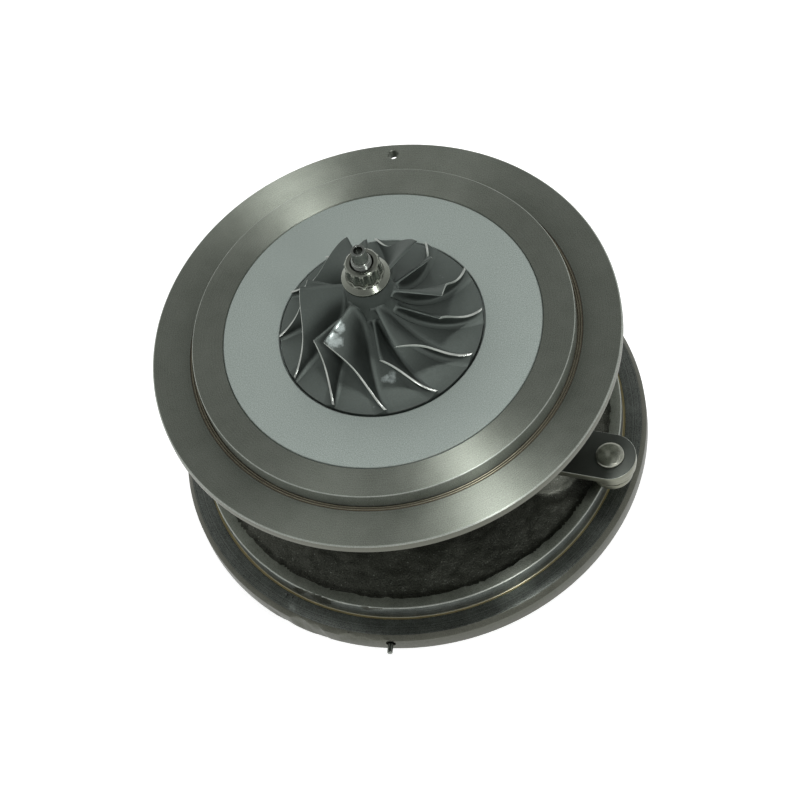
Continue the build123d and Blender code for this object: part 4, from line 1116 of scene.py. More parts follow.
@dataclass
class TurbineWheel:
    """Ten blades on a scalloped disc, with a hexagon on the nose."""

    wheel_r: float = 26.0
    weld_z: float = -60.8
    hub_r: float = 8.0
    back_z: float = -62.3
    dish_r: float = 16.0
    rim_z: float = -62.8
    disc_t: float = 0.9
    axial: float = 22.5
    inlet_w: float = 7.5
    exducer_r: float = 22.5
    nose_r: float = 6.8
    nose_h: float = 1.3
    nose_edge: float = 1.0
    hex_r: float = 5.6
    hex_h: float = 3.6
    count: int = 10
    twist: float = 46.0
    twist_power: float = 1.8
    scallop_r: float = 4.6
    scallop_circle_r: float = 26.5
    scallop_l: float = 12.5

    @property
    def exit_z(self) -> float:
        """The height of the blades' outlet edges."""
        return self.rim_z - self.disc_t - self.axial

    def turn(self, phi: float) -> float:
        """Gives the azimuth of the blade's tip: radial at the inlet, turned at the outlet."""
        return self.twist * max(0.0, 1 - phi / 90) ** self.twist_power

    def hub(self, arc: Sequence[Point]) -> Skin:
        """Turns the hub round the section under the blades, and cuts the scallops out of its disc.

        Args:
            arc: The section under the blades, from nose to rim.

        Returns:
            The hub's skin.
        """
        nose_z = self.exit_z - self.nose_h
        end = rounded([(self.nose_r, self.exit_z), (self.nose_r - self.nose_edge, nose_z), (0, nose_z)],
                      0.5, closed=False)
        made = tool(lathe([
            (0, self.weld_z), (self.hub_r, self.weld_z), (self.hub_r, self.back_z),
            (self.dish_r, self.back_z), (self.wheel_r, self.rim_z), *reversed(arc), *end[1:]]))
        cutters = []
        for k in range(self.count):
            top = polar(self.scallop_circle_r, 360 / self.count * (k + 0.5), self.weld_z)
            cutters.append(tool(rod(self.scallop_r, top - lift(self.scallop_l), top, 72)))
        combine(made, cutters, "DIFFERENCE")
        skin = [v.co / MM for v in made.data.vertices], [tuple(p.vertices) for p in made.data.polygons]
        bpy.data.objects.remove(made)
        return skin

    def build(self) -> None:
        """Builds disc, blades and hexagon as one piece."""
        blade = Blade(
            corner_r=self.wheel_r, hub_corner_z=self.exit_z, tip_corner_z=self.exit_z,
            hub=(self.wheel_r - self.nose_r, -self.axial),
            tip=(self.wheel_r - self.exducer_r, self.inlet_w - self.axial),
            turn=self.turn, lean=(0.0, 0.0), tip_t=0.8, root_t=1.8, sink=0.7, fillet=0.8,
        )
        nose_z = self.exit_z - self.nose_h
        hexagon = [polar(self.hex_r, 60 * k) for k in range(6)]
        hub = merged(self.hub(blade.hub_arc()), slab(hexagon, nose_z - self.hex_h, nose_z + 0.5, 0.35))
        skin, marks = bladed(hub, blade, [(0.0, 360 / self.count * k) for k in range(self.count)])
        made = piece("turbine_wheel_casting", skin, Body.ROTOR,
                     [NICKEL_CASTING, GROUND_NICKEL], marks, crease=40)
        stand_in(made, "turbine_wheel")


@dataclass
class CompressorNut:
    """Flange nut with twelve points."""

    seat_z: float = 31.4
    flange_t: float = 2.1
    flange_r: float = 7.05
    rim_h: float = 0.85
    cone_r: float = 5.7
    point_r: float = 5.35
    top_z: float = 39.0
    bore_r: float = 2.95
    sink_r: float = 3.5
    corner: float = 0.75
    soften: float = 0.16
    around: int = 288

    def star(self, azimuth: float) -> float:
        """Gives the radius of the twelve-point body: two hexagons, with softened points and valleys.

        Args:
            azimuth: The direction in degrees.

        Returns:
            The radius there.
        """
        apothem = self.point_r * math.cos(math.radians(30))
        sharp = max(apothem / math.cos(math.radians((azimuth - turn + 30) % 60 - 30)) for turn in (30, 0))
        valley = apothem / math.cos(math.radians(15))
        rise = (sharp - valley) / (self.point_r - valley)
        rise += self.soften * (0.35 * (1 - rise) ** 3 - rise ** 3)
        return valley + (self.point_r - valley) * rise

    def build(self) -> None:
        """Builds the nut's skin in rings from the bore round the outside back to the bore."""
        azimuths = [360 * k / self.around for k in range(self.around)]
        flange_z = self.seat_z + self.flange_t
        outer = rounded([
            (self.bore_r, self.seat_z), (self.flange_r - 0.25, self.seat_z),
            (self.flange_r, self.seat_z + 0.25), (self.flange_r, self.seat_z + self.rim_h),
            (self.flange_r - 0.25, self.seat_z + self.rim_h + 0.2), (self.cone_r, flange_z),
        ], 0.2, closed=False)
        inner = rounded([
            (self.point_r - self.corner - 0.2, self.top_z), (self.sink_r, self.top_z),
            (self.bore_r, self.top_z - 0.6), (self.bore_r, self.seat_z + 0.01),
        ], 0.1, closed=False)
        rings = rings_of(outer, azimuths)
        for grow, above in ((0.25, 0.05), (0.05, 0.3), (0.0, 0.6)):
            rings.append([polar(self.star(a) + grow, a, flange_z + above) for a in azimuths])
        for drop in (self.corner, 0.5 * self.corner, 0.2 * self.corner, 0.0):
            limit = self.point_r - (self.corner - drop) * 1.1
            rings.append([polar(min(self.star(a), limit), a, self.top_z - drop) for a in azimuths])
        rings += rings_of(inner, azimuths)
        verts, faces = layers(rings)
        n = self.around
        last = (len(rings) - 1) * n
        faces = faces[:-2] + [(last + i, last + (i + 1) % n, (i + 1) % n, i) for i in range(n)]
        made = piece("twelve_point_nut", (verts, faces), Body.ROTOR, [NUT_STEEL], crease=28)
        stand_in(made, "compressor_nut")


@dataclass
class RotorShaft:
    """Shaft with its ring hub, journal, stub, thread and necked end."""

    weld_z: float = -60.8
    hub_r: float = 8.2
    hub_l: float = 7.3
    journal_r: float = 5.0
    shoulder_z: float = -22.0
    stub_r: float = 2.98
    nose_z: float = 31.4
    thread_r: float = 2.9
    thread_end_z: float = 40.6
    thread_start_z: float = 36.5
    thread_pitch: float = 0.8
    thread_depth: float = 0.4
    thread_rings: int = 90
    neck_r: float = 2.4
    tip_r: float = 2.0
    end_z: float = 44.8
    hole_r: float = 1.25
    hole_depth: float = 2.0
    around: int = 72

    def radius(self, azimuth: float, z: float) -> float:
        """Gives the thread's radius at a place, fading out at its end.

        Args:
            azimuth: The direction in degrees.
            z: The height.

        Returns:
            The radius there.
        """
        phase = (z / self.thread_pitch - azimuth / 360) % 1.0
        tooth = abs(phase - 0.5) * 2
        tooth = min(1.0, max(0.0, (tooth - 0.08) / 0.8))
        fade = min(1.0, max(0.0, (self.thread_end_z - 0.15 - z) / 0.5))
        return self.thread_r - self.thread_depth * tooth * fade - 0.25 * (1 - fade)

    def build(self) -> None:
        """Builds the shaft in rings from the turbine end to the hole in its tip."""
        azimuths = [360 * k / self.around for k in range(self.around)]
        lower = rounded([
            (self.hub_r, self.weld_z), (self.hub_r, self.weld_z + self.hub_l),
            (self.journal_r, self.weld_z + self.hub_l), (self.journal_r, self.shoulder_z),
            (self.stub_r, self.shoulder_z), (self.stub_r, self.nose_z),
            (self.thread_r - self.thread_depth, self.nose_z + 0.2),
        ], 0.15, closed=False)
        rings = rings_of(lower, azimuths)
        low = self.thread_start_z
        for k in range(self.thread_rings + 1):
            z = low + (self.thread_end_z - 0.12 - low) * k / self.thread_rings
            rings.append([polar(self.radius(a, z), a, z) for a in azimuths])
        upper = rounded([
            (self.thread_r - 0.35, self.thread_end_z), (self.neck_r, self.thread_end_z + 0.1),
            (self.neck_r, self.thread_end_z + 0.5), (self.tip_r + 0.12, self.end_z - 2.0),
            (self.tip_r, self.end_z), (self.hole_r + 0.1, self.end_z),
            (self.hole_r, self.end_z - self.hole_depth),
        ], 0.14, steps=4, closed=False)
        rings += rings_of(upper, azimuths)
        made = piece("shaft_with_thread", layers(rings), Body.ROTOR, [SHAFT_STEEL], crease=30)
        stand_in(made, "rotor_shaft")


# The lever between the flanges


@dataclass
class ControlLever:
    """Lever plate, its pin and the disc under it."""

    pivot_r: float = 44.76
    pivot_azimuth: float = -22.67
    angle: float = -14.2
    length: float = 22.0
    end_r: float = 7.8
    top_z: float = -38.0
    thick: float = 2.7
    pad_r: float = 7.5
    pad_t: float = 2.0
    hub_r: float = 6.2
    hub_t: float = 0.5
    edge: float = 0.25
    head_r: float = 4.3
    head_h: float = 1.5
    dimple: float = 0.2
    dimple_share: float = 0.6
    dent: float = 0.1
    dent_mm: float = 1.6
    shank_r: float = 2.98
    eye_r: float = 3.0
    collar_r: float = 4.2
    collar_h: float = 2.7
    disc_r: float = 6.2
    disc_t: float = 1.8

    @property
    def pivot(self) -> Vector:
        """The lever's pivot in the plan."""
        return polar(self.pivot_r, self.pivot_azimuth)

    @property
    def pin(self) -> Vector:
        """The centre of the lever's pin in the plan."""
        return self.pivot + polar(self.length, self.angle)

    @property
    def disc_top_z(self) -> float:
        """The height of the disc's upper face."""
        return self.top_z - self.thick - self.pad_t - self.collar_h

    def outline(self) -> list[Vector]:
        """Gives the plate's outline: two half circles joined by straight sides.

        Returns:
            The points, counter-clockwise.
        """
        out = []
        for centre, start in ((self.pin, self.angle - 90), (self.pivot, self.angle + 90)):
            out += [centre + polar(self.end_r, start + 180 * k / 40) for k in range(41)]
        return out

    def build(self) -> None:
        """Builds the plate with its pad, the pin's head and the disc."""
        low = self.top_z - self.thick
        parts = [slab(self.outline(), low, self.top_z, self.edge)]
        for radius, depth, edge, centre in ((self.pad_r, self.pad_t, 0.3, self.pin),
                                            (self.hub_r, self.hub_t, 0.15, self.pivot)):
            profile = [(0, low + 0.2), (radius, low + 0.2), (radius, low - depth), (0, low - depth)]
            parts.append(lathe(rounded(profile, edge, closed=False), 96, centre))
        made = piece("lever_plate", merged(*parts), Body.LEVER, [LEVER_STEEL], crease=40)
        finish_faces(made, EDGE_STEEL, lambda _, __, normal: abs(normal.z) < 0.9)
        # The plate's upper rounded edge painted lighter as a highlight line.
        finish_faces(made, PAINTED_HIGHLIGHT_EDGE, lambda _, z, normal: (
            0.3 < normal.z < 0.9 and z > self.top_z - self.edge))
        stand_in(made, "control_lever")
        self.build_pin()
        self.build_disc()

    def build_pin(self) -> None:
        """Builds the pin with its upset, dimpled head."""
        top = self.top_z
        foot = self.disc_top_z - self.disc_t
        crown = top + self.head_h
        neck_r = self.head_r - 0.3
        profile = [(0, crown - self.dimple)]
        profile += [(self.head_r * s, crown - self.dimple * (1 - s / self.dimple_share) ** 2)
                    for s in (0.15, 0.3, 0.45, 0.6)]
        profile += [
            (self.head_r * 0.82, crown - 0.08), (self.head_r - 0.2, crown - 0.3), (self.head_r, crown - 0.6),
            (self.head_r, top + 0.4), (neck_r, top + 0.25), (neck_r, top), (self.shank_r, top),
            (self.shank_r, foot), (self.shank_r + 0.42, foot - 0.1), (self.shank_r + 0.22, foot - 0.45),
            (0, foot - 0.5)]
        skin = lathe(rounded(profile, 0.3, closed=False), 96, self.pin)
        made = piece("lever_pin_upset", skin, Body.LEVER, [PIN_STEEL], crease=50)
        for vert in made.data.vertices:
            if vert.co.z > (top + 0.05) * MM:
                vert.co.z -= self.dent * MM * (0.5 + noise.noise(vert.co / (self.dent_mm * MM)))
        stand_in(made, "lever_pin")

    def build_disc(self) -> None:
        """Builds the disc riveted under the lever, with its collar."""
        high = self.disc_top_z
        profile = rounded([
            (self.eye_r, high + self.collar_h), (self.collar_r, high + self.collar_h), (self.collar_r, high),
            (self.disc_r, high), (self.disc_r, high - self.disc_t), (self.eye_r, high - self.disc_t),
        ], 0.3)
        made = piece("lever_pin_washer", lathe(profile, 96, self.pin), Body.LEVER, [EDGE_STEEL], crease=40)
        stand_in(made, "lever_pin_disc")


# The casting


@dataclass
class CentreHousing:
    """Sand-cast iron housing: a rough casting, cut back to its machined faces.

    The pairs are: rim_chamfer across and down, inlet_mill and drain_mill half width and drop, gallery
    width and length, gallery_z low and high, rim_pin_sink radius and depth, rim_lumps size and height,
    and lumps size and share of skin_mm.
    """

    joint_z: float = -9.0
    top_r: float = 50.0
    lug_z: float = -16.0
    lug_r: float = 6.6
    lug_circle_r: float = 53.5
    lug_stock: float = 0.7
    screw_hole_r: float = 2.65
    seat_r: float = 5.7
    neck_r: float = 29.0
    crown_r: float = 37.0
    crown_z: float = -43.4
    land_r: float = 62.0
    land_relief: float = 0.5
    ledge_r: float = 65.3
    ledge_z: float = -48.0
    ledge_edge: float = 0.3
    groove: float = 0.35
    rim_r: float = 72.4
    rim_top_z: float = -54.0
    rim_bottom_z: float = -61.0
    rim_chamfer: Pair = (1.3, 1.5)
    rim_edge: float = 0.6
    register_r: float = 69.0
    register_z: float = -63.5
    register_edge: float = 0.5
    recess_r: float = 66.4
    recess_z: float = -56.0
    recess_edge: float = 0.3
    boss_r: float = 20.5
    boss_z: float = -60.4
    boss_edge: float = 0.4
    lever: ControlLever = field(default_factory=ControlLever)
    lever_boss_r: float = 9.5
    lever_boss_z: float = -41.5
    bush_r: float = 6.0
    inlet_y: float = 39.0
    inlet_z: float = -29.0
    inlet_boss_r: float = 10.5
    inlet_thread_r: float = 5.1
    inlet_depth: float = 12.0
    inlet_mill: Pair = (13.0, 12.0)
    thread_pitch: float = 1.5
    thread_depth: float = 0.7
    drain_y: float = -42.0
    drain_z: float = -27.9
    drain_neck_r: float = 11.5
    drain_flange_t: float = 8.0
    drain_r: float = 7.5
    drain_mouth: float = 20.0
    drain_inner_r: float = 6.5
    drain_depth: float = 34.0
    drain_mill: Pair = (30.0, 12.6)
    mill_l: float = 10.0
    mill_h: float = 24.4
    port_root: float = 12.0
    drain_bolt_x: float = 17.0
    drain_bolt_r: float = 2.5
    drain_bolt_depth: float = 11.0
    ear_r: float = 6.5
    gallery: Pair = (13.0, 21.5)
    gallery_z: Pair = (-56.5, -18.7)
    ring_bore_r: float = 8.5
    chamber_r: float = 12.0
    chamber_z: float = -52.0
    bearing_r: float = 8.0
    bearing_z: float = -24.0
    collar_r: float = 12.5
    thrust_r: float = 25.5
    thrust_z: float = -13.0
    top_bore_r: float = 36.0
    pin_z: float = -38.0
    pin_r: float = 1.5
    pin_tip_x: float = -6.2
    cage_circle_r: float = 56.0
    cage_hole_r: float = 2.1
    cage_hole_depth: float = 6.0
    rim_pin_azimuth: float = -93.9
    rim_pin_z: float = -57.1
    rim_pin_r: float = 0.85
    rim_pin_depth: float = 6.0
    rim_pin_sink: Pair = (1.5, 0.8)
    stock: float = 1.0
    voxel: float = 0.85
    skin_mm: float = 0.22
    lumps: tuple[Pair, ...] = ((5.5, 0.9), (2.1, 0.8))
    rim_lumps: Pair = (7.0, 1.3)
    rim_low_azimuth: float = -112.0
    rim_low_spread: float = 26.0

    @property
    def lug_azimuths(self) -> list[float]:
        """Where the four lugs stand."""
        return [45.0 + 90 * k for k in range(4)]

    def build(self) -> None:
        """Casts the blank, machines it and gives it its finishes."""
        made = self.blank()
        self.roughen(made)
        combine(made, [self.envelope()], "INTERSECT")
        combine(made, self.cutters(), "DIFFERENCE")
        made.name = "iron_casting"
        made.data.name = "iron_casting"
        tidy(made, 34)
        self.finish(made)
        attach(made, Body.HOUSING.value)
        log.info("casting has %d faces", len(made.data.polygons))
        stand_in(made, "centre_housing")

    def finish(self, made: bpy.types.Object) -> None:
        """Gives the rim, the land of the ledge, the oiled groove and the ledge's edge their own finishes,
        with painted light on the land and painted highlights on the groove and the edge.

        Args:
            made: The machined casting.
        """
        rim_face_r = self.rim_r - self.rim_chamfer[0]
        finish_faces(made, BROWNED_IRON, lambda r, _, normal: (
            abs(normal.z) < 0.9 and r > rim_face_r - 0.05))
        # The ledge's land is painted lighter, as painted light against the flange's shade.
        finish_faces(made, PAINTED_LIGHT_LEDGE_IRON, lambda r, z, normal: (
            z > self.rim_top_z + 0.1 and self.land_r < r < self.ledge_r + 0.1 and normal.z > 0.9))
        # The groove at the ledge's foot: golden oil tint, painted pale as a highlight line.
        finish_faces(made, OIL_AND_HIGHLIGHT_IRON, lambda r, z, _: (
            abs(r - self.ledge_r - 0.2) < 0.35 and abs(z - self.rim_top_z) < 0.4))
        # The ledge's edge painted lighter as a highlight line.
        finish_faces(made, PAINTED_HIGHLIGHT_EDGE, lambda r, z, normal: (
            0.2 < normal.z < 0.95 and abs(r - self.ledge_r + 0.15) < 0.22
            and abs(z - self.ledge_z + 0.15) < 0.2))

    def blank(self) -> bpy.types.Object:
        """Joins the casting's forms, with stock on what is machined, and melts them together.

        Returns:
            The blank, without the sand skin.
        """
        more = self.stock
        turned = lathe([
            (0, self.joint_z + more), (self.top_r, self.joint_z + more), (self.top_r, self.lug_z),
            (self.neck_r + 6, self.lug_z), (self.neck_r + 2.4, self.lug_z - 1.1),
            (self.neck_r + 0.5, self.lug_z - 3.6), (self.neck_r, self.lug_z - 6),
            (self.neck_r, self.crown_z + 12), (self.neck_r + 0.8, self.crown_z + 6.5),
            (self.neck_r + 3.4, self.crown_z + 2.4), (self.crown_r, self.crown_z),
            (self.land_r - 1.2, self.ledge_z - self.land_relief), (self.land_r + 0.4, self.ledge_z + 0.2),
            (self.ledge_r + 0.9, self.ledge_z + more), (self.ledge_r + 1.4, self.rim_top_z + more),
            (self.rim_r + 0.2, self.rim_top_z + 0.8), (self.rim_r + 0.9, self.rim_top_z - 1.2),
            (self.rim_r + 0.9, self.rim_bottom_z - more), (self.register_r + more, self.register_z - more),
            (self.recess_r - more, self.register_z - more), (self.recess_r - more, self.recess_z - more),
            (self.boss_r + more, self.recess_z - more), (self.boss_r + more, self.boss_z - more),
            (0, self.boss_z - more),
        ], 180)
        parts = [turned]
        lug_h = self.joint_z - self.lug_z + self.lug_stock + more
        for azimuth in self.lug_azimuths:
            foot = polar(self.lug_circle_r, azimuth, self.lug_z - self.lug_stock)
            parts.append(rod(self.lug_r, foot, foot + lift(lug_h), 40))
            parts.append(block(foot - polar(self.lug_r, azimuth), azimuth, self.lug_r, self.lug_r, lug_h))
        boss = ((self.lever_boss_r + 2.4, self.crown_z - 3), (self.lever_boss_r + 1.2, self.crown_z - 0.6),
                (self.lever_boss_r, self.crown_z + 0.6), (self.lever_boss_r, self.lever_boss_z + more))
        verts, faces = layers(rings_of(boss, range(0, 360, 9)))
        parts.append(([self.lever.pivot + v for v in verts], faces))
        for radius, root, end, z in (
                (self.inlet_boss_r, self.port_root, self.inlet_y + more, self.inlet_z),
                (self.drain_neck_r, -self.port_root, self.drain_y - more, self.drain_z)):
            parts.append(rod(radius, Vector((0, root, z)), Vector((0, end, z))))
        parts.append(self.drain_flange(more))
        made = tool(merged(*parts), CAST_IRON)
        melt = made.modifiers.new("melt", "REMESH")
        melt.mode = "VOXEL"
        melt.voxel_size = self.voxel * MM
        calm = made.modifiers.new("calm", "SMOOTH")
        calm.factor = 0.5
        calm.iterations = 5
        applied(made)
        return made

    def drain_flange(self, more: float) -> Skin:
        """Makes the two-bolt flange: the hull of the neck and two ears.

        Args:
            more: The stock on its face.

        Returns:
            The vertices and the faces.
        """
        points = []
        for centre, radius in ((0.0, self.drain_neck_r), (self.drain_bolt_x, self.ear_r),
                               (-self.drain_bolt_x, self.ear_r)):
            points += [(centre + radius * math.cos(math.radians(a)), radius * math.sin(math.radians(a)))
                       for a in range(0, 360, 6)]
        ring = sorted(hull(points), key=lambda p: math.atan2(p[1], p[0]))
        return layers([[Vector((x, y, self.drain_z + z)) for x, z in ring]
                       for y in (self.drain_y - more, self.drain_y + self.drain_flange_t)])

    def roughen(self, made: bpy.types.Object) -> None:
        """Moves the skin in and out as sand leaves it, more at the low side of the rim.

        Args:
            made: The blank.
        """
        mesh = made.data
        normals = [v.normal.copy() for v in mesh.vertices]
        for vert, normal in zip(mesh.vertices, normals):
            here = vert.co / MM
            shift = sum(noise.noise(here / size) * share for size, share in self.lumps) * self.skin_mm
            if math.hypot(here.x, here.y) > self.ledge_r and abs(normal.z) < 0.9:
                size, share = self.rim_lumps
                azimuth = math.degrees(math.atan2(here.y, here.x))
                away = abs((azimuth - self.rim_low_azimuth + 180) % 360 - 180)
                shift += noise.noise(here / size) * share - max(0.0, 1 - (away / self.rim_low_spread) ** 2)
            vert.co += normal * shift * MM

    def envelope(self) -> bpy.types.Object:
        """Makes what is left after turning: the machined faces and the bores.

        Returns:
            The object to intersect with.
        """
        low, high = self.gallery_z
        profile = [
            (self.top_bore_r, self.joint_z), (self.land_r - 1, self.joint_z), (self.land_r - 1, self.ledge_z),
            (self.ledge_r - self.ledge_edge, self.ledge_z), (self.ledge_r, self.ledge_z - self.ledge_edge),
            (self.ledge_r, self.rim_top_z + self.groove), (self.ledge_r - self.groove, self.rim_top_z),
            (self.ledge_r, self.rim_top_z - self.groove), (self.ledge_r + 2 * self.groove, self.rim_top_z),
            (self.rim_r - self.rim_chamfer[0], self.rim_top_z),
            (self.rim_r, self.rim_top_z - self.rim_chamfer[1]),
            (self.rim_r, self.rim_bottom_z + self.rim_edge), (self.rim_r - self.rim_edge, self.rim_bottom_z),
            (self.register_r, self.rim_bottom_z), (self.register_r, self.register_z + self.register_edge),
            (self.register_r - self.register_edge, self.register_z),
            (self.recess_r + self.recess_edge, self.register_z),
            (self.recess_r, self.register_z + self.recess_edge), (self.recess_r, self.recess_z),
            (self.boss_r, self.recess_z), (self.boss_r, self.boss_z + self.boss_edge),
            (self.boss_r - self.boss_edge, self.boss_z), (self.ring_bore_r, self.boss_z),
            (self.ring_bore_r, low), (self.chamber_r, low), (self.chamber_r, self.chamber_z),
            (self.bearing_r, self.chamber_z), (self.bearing_r, self.bearing_z),
            (self.collar_r, self.bearing_z), (self.collar_r, high), (self.thrust_r, high),
            (self.thrust_r, self.thrust_z), (self.top_bore_r, self.thrust_z),
        ]
        # The machined faces get the heat-darkened iron, which also carries painted shade.
        return tool(lathe(rounded(profile, 0.18, steps=2), 300), HEAT_AND_SHADE_IRON)

    def thread(self, radius: float, depth: float) -> list[Point]:
        """Gives the section of a threaded hole, with its countersink, as a closed profile.

        Args:
            radius: The radius at the bottom of the thread's grooves.
            depth: How deep the hole is.

        Returns:
            Radius and height of each corner, where the mouth is at nought.
        """
        out: list[Point] = [(0, 1.0), (radius + 1.4, 1.0), (radius + 1.2, 0.0), (radius, -1.2)]
        count = int((depth - 1.4) / self.thread_pitch)
        for k in range(count):
            at = -1.3 - k * self.thread_pitch
            out += [(radius - self.thread_depth, at - 0.1), (radius - self.thread_depth, at - 0.25),
                    (radius, at - self.thread_pitch / 2), (radius, at - self.thread_pitch / 2 - 0.12)]
        return out + [(radius - self.thread_depth, -depth), (0, -depth - 1.2)]

    def cutters(self) -> list[bpy.types.Object]:
        """Makes the cored gallery, the mills, the bores and the drills.

        Returns:
            The cutters, in order.
        """
        inlet = Vector((0, self.inlet_y, self.inlet_z))
        drain = Vector((0, self.drain_y, self.drain_z))
        boss = self.lever.pivot + lift(self.lever_boss_z)
        gallery_w, gallery_l = self.gallery
        low, high = self.gallery_z
        gallery = Vector((0, -gallery_l / 2, low))
        cuts: list[Skin] = []
        for face, outward, (half_w, drop) in ((inlet, 1, self.inlet_mill), (drain, -1, self.drain_mill)):
            middle = face + Vector((0, outward * self.mill_l, -drop))
            cuts.append(block(middle, 90, self.mill_l, half_w, self.mill_h))
        cuts += [
            rod(self.lever_boss_r + 2, boss, boss + lift(5)),
            rod(self.bush_r, self.lever.pivot + lift(self.recess_z - 2), boss + lift(1.5), 64),
            turned_about_y(self.thread(self.inlet_thread_r, self.inlet_depth), inlet, 1),
            turned_about_y([
                (0, 1), (self.drain_r + 1, 1), (self.drain_r, -0.4), (self.drain_r, -self.drain_mouth),
                (self.drain_inner_r, -self.drain_mouth - 0.6), (self.drain_inner_r, -self.drain_depth),
                (0, -self.drain_depth)], drain, -1),
        ]
        cuts.append(rod(self.pin_r, Vector((-self.neck_r - 3, 0, self.pin_z)),
                        Vector((self.pin_tip_x, 0, self.pin_z))))
        for side in (-1, 1):
            cuts.append(turned_about_y([
                (0, 1), (self.drain_bolt_r + 1.2, 1), (self.drain_bolt_r, -0.4),
                (self.drain_bolt_r, -self.drain_bolt_depth), (0, -self.drain_bolt_depth - 1.4),
            ], drain + Vector((side * self.drain_bolt_x, 0, 0)), -1))
        for azimuth in self.lug_azimuths:
            lug = polar(self.lug_circle_r, azimuth)
            below = lug + lift(self.lug_z - 4)
            cuts.append(rod(self.screw_hole_r, below, lug + lift(self.joint_z + 1)))
            cuts.append(rod(self.seat_r, below, lug + lift(self.lug_z)))
        for k in range(3):
            cuts.append(lathe([
                (0, -1), (self.cage_hole_r + 1.4, -1), (self.cage_hole_r, 0.4),
                (self.cage_hole_r, self.cage_hole_depth), (0, self.cage_hole_depth + 1.2),
            ], 48, polar(self.cage_circle_r, 30 + 120 * k, self.recess_z)))
        foot = polar(self.rim_r, self.rim_pin_azimuth, self.rim_pin_z)
        ahead = polar(1, self.rim_pin_azimuth)
        for radius, depth in ((self.rim_pin_r, self.rim_pin_depth), self.rim_pin_sink):
            cuts.append(rod(radius, foot - ahead * depth, foot + ahead * 2))
        cored = tool(block(gallery, 90, gallery_l / 2, gallery_w / 2, high - low), CAST_IRON)
        return [cored] + [tool(cut, MILLED_IRON) for cut in cuts]


def hull(points: Sequence[Point]) -> list[Point]:
    """Gives the convex hull of points in a plane.

    Args:
        points: The points, in any order.

    Returns:
        The corners of the hull, counter-clockwise.
    """
    ordered = sorted(set(points))

    def chain(row: Iterable[Point]) -> list[Point]:
        """Keeps the points of a row that turn one way.

        Args:
            row: The points, sorted along one axis.

        Returns:
            The kept points, without the last.
        """
        out: list[Point] = []
        for p in row:
            while len(out) > 1 and ((out[-1][0] - out[-2][0]) * (p[1] - out[-2][1])
                                    - (out[-1][1] - out[-2][1]) * (p[0] - out[-2][0])) <= 0:
                out.pop()
            out.append(p)
        return out[:-1]

    return chain(ordered) + chain(reversed(ordered))


# Studio and camera


@dataclass
class Camera:
    """Camera at the photograph's viewing angle, solved from the rings of the part."""

    elevation: float = 55.95
    azimuth: float = 16.82
    roll: float = -17.39
    distance_mm: float = 762.6
    focal_px: float = 2593.8
    origin_px: Point = (384.6, 336.1)
    image_px: float = 800.0
    sensor_mm: float = 36.0

    def place(self) -> None:
        """Creates the camera and makes it the scene's."""
        data = bpy.data.cameras.new("photo_camera")
        data.sensor_width = self.sensor_mm
        data.lens = self.focal_px * self.sensor_mm / self.image_px
        data.clip_start = 0.01
        made = placed("photo_camera", data)
        middle = self.image_px / 2
        ray = Vector(((self.origin_px[0] - middle) / self.focal_px,
                      (self.origin_px[1] - middle) / self.focal_px, 1.0)).normalized()
        up = math.radians(self.elevation)
        forward = Vector((0, math.cos(up), -math.sin(up)))
        right = Vector((1, 0, 0))
        rows = Matrix((right, forward.cross(right), forward))
        roll = Matrix.Rotation(math.radians(self.roll), 3, "Z")
        off_axis = Vector((0, 0, 1)).rotation_difference(ray).to_matrix()
        rows = off_axis @ roll @ rows
        turned = Matrix((rows[0], -rows[1], -rows[2])).transposed().to_4x4()
        turned.translation = -forward * self.distance_mm * MM
        made.matrix_world = Matrix.Rotation(math.radians(self.azimuth), 4, "Z") @ turned
        bpy.context.scene.camera = made


@dataclass
class Lamp:
    """A round lamp that points at the part."""

    name: str
    azimuth: float
    elevation: float
    distance_mm: float
    size_mm: float
    watts: float

    def place(self) -> None:
        """Creates the lamp."""
        data = bpy.data.lights.new(self.name, "AREA")
        data.shape = "DISK"
        data.size = self.size_mm * MM
        data.energy = self.watts
        made = placed(self.name, data)
        up = math.radians(self.elevation)
        away = polar(math.cos(up), self.azimuth, math.sin(up))
        made.location = away * self.distance_mm * MM
        made.rotation_euler = away.to_track_quat("Z", "Y").to_euler()


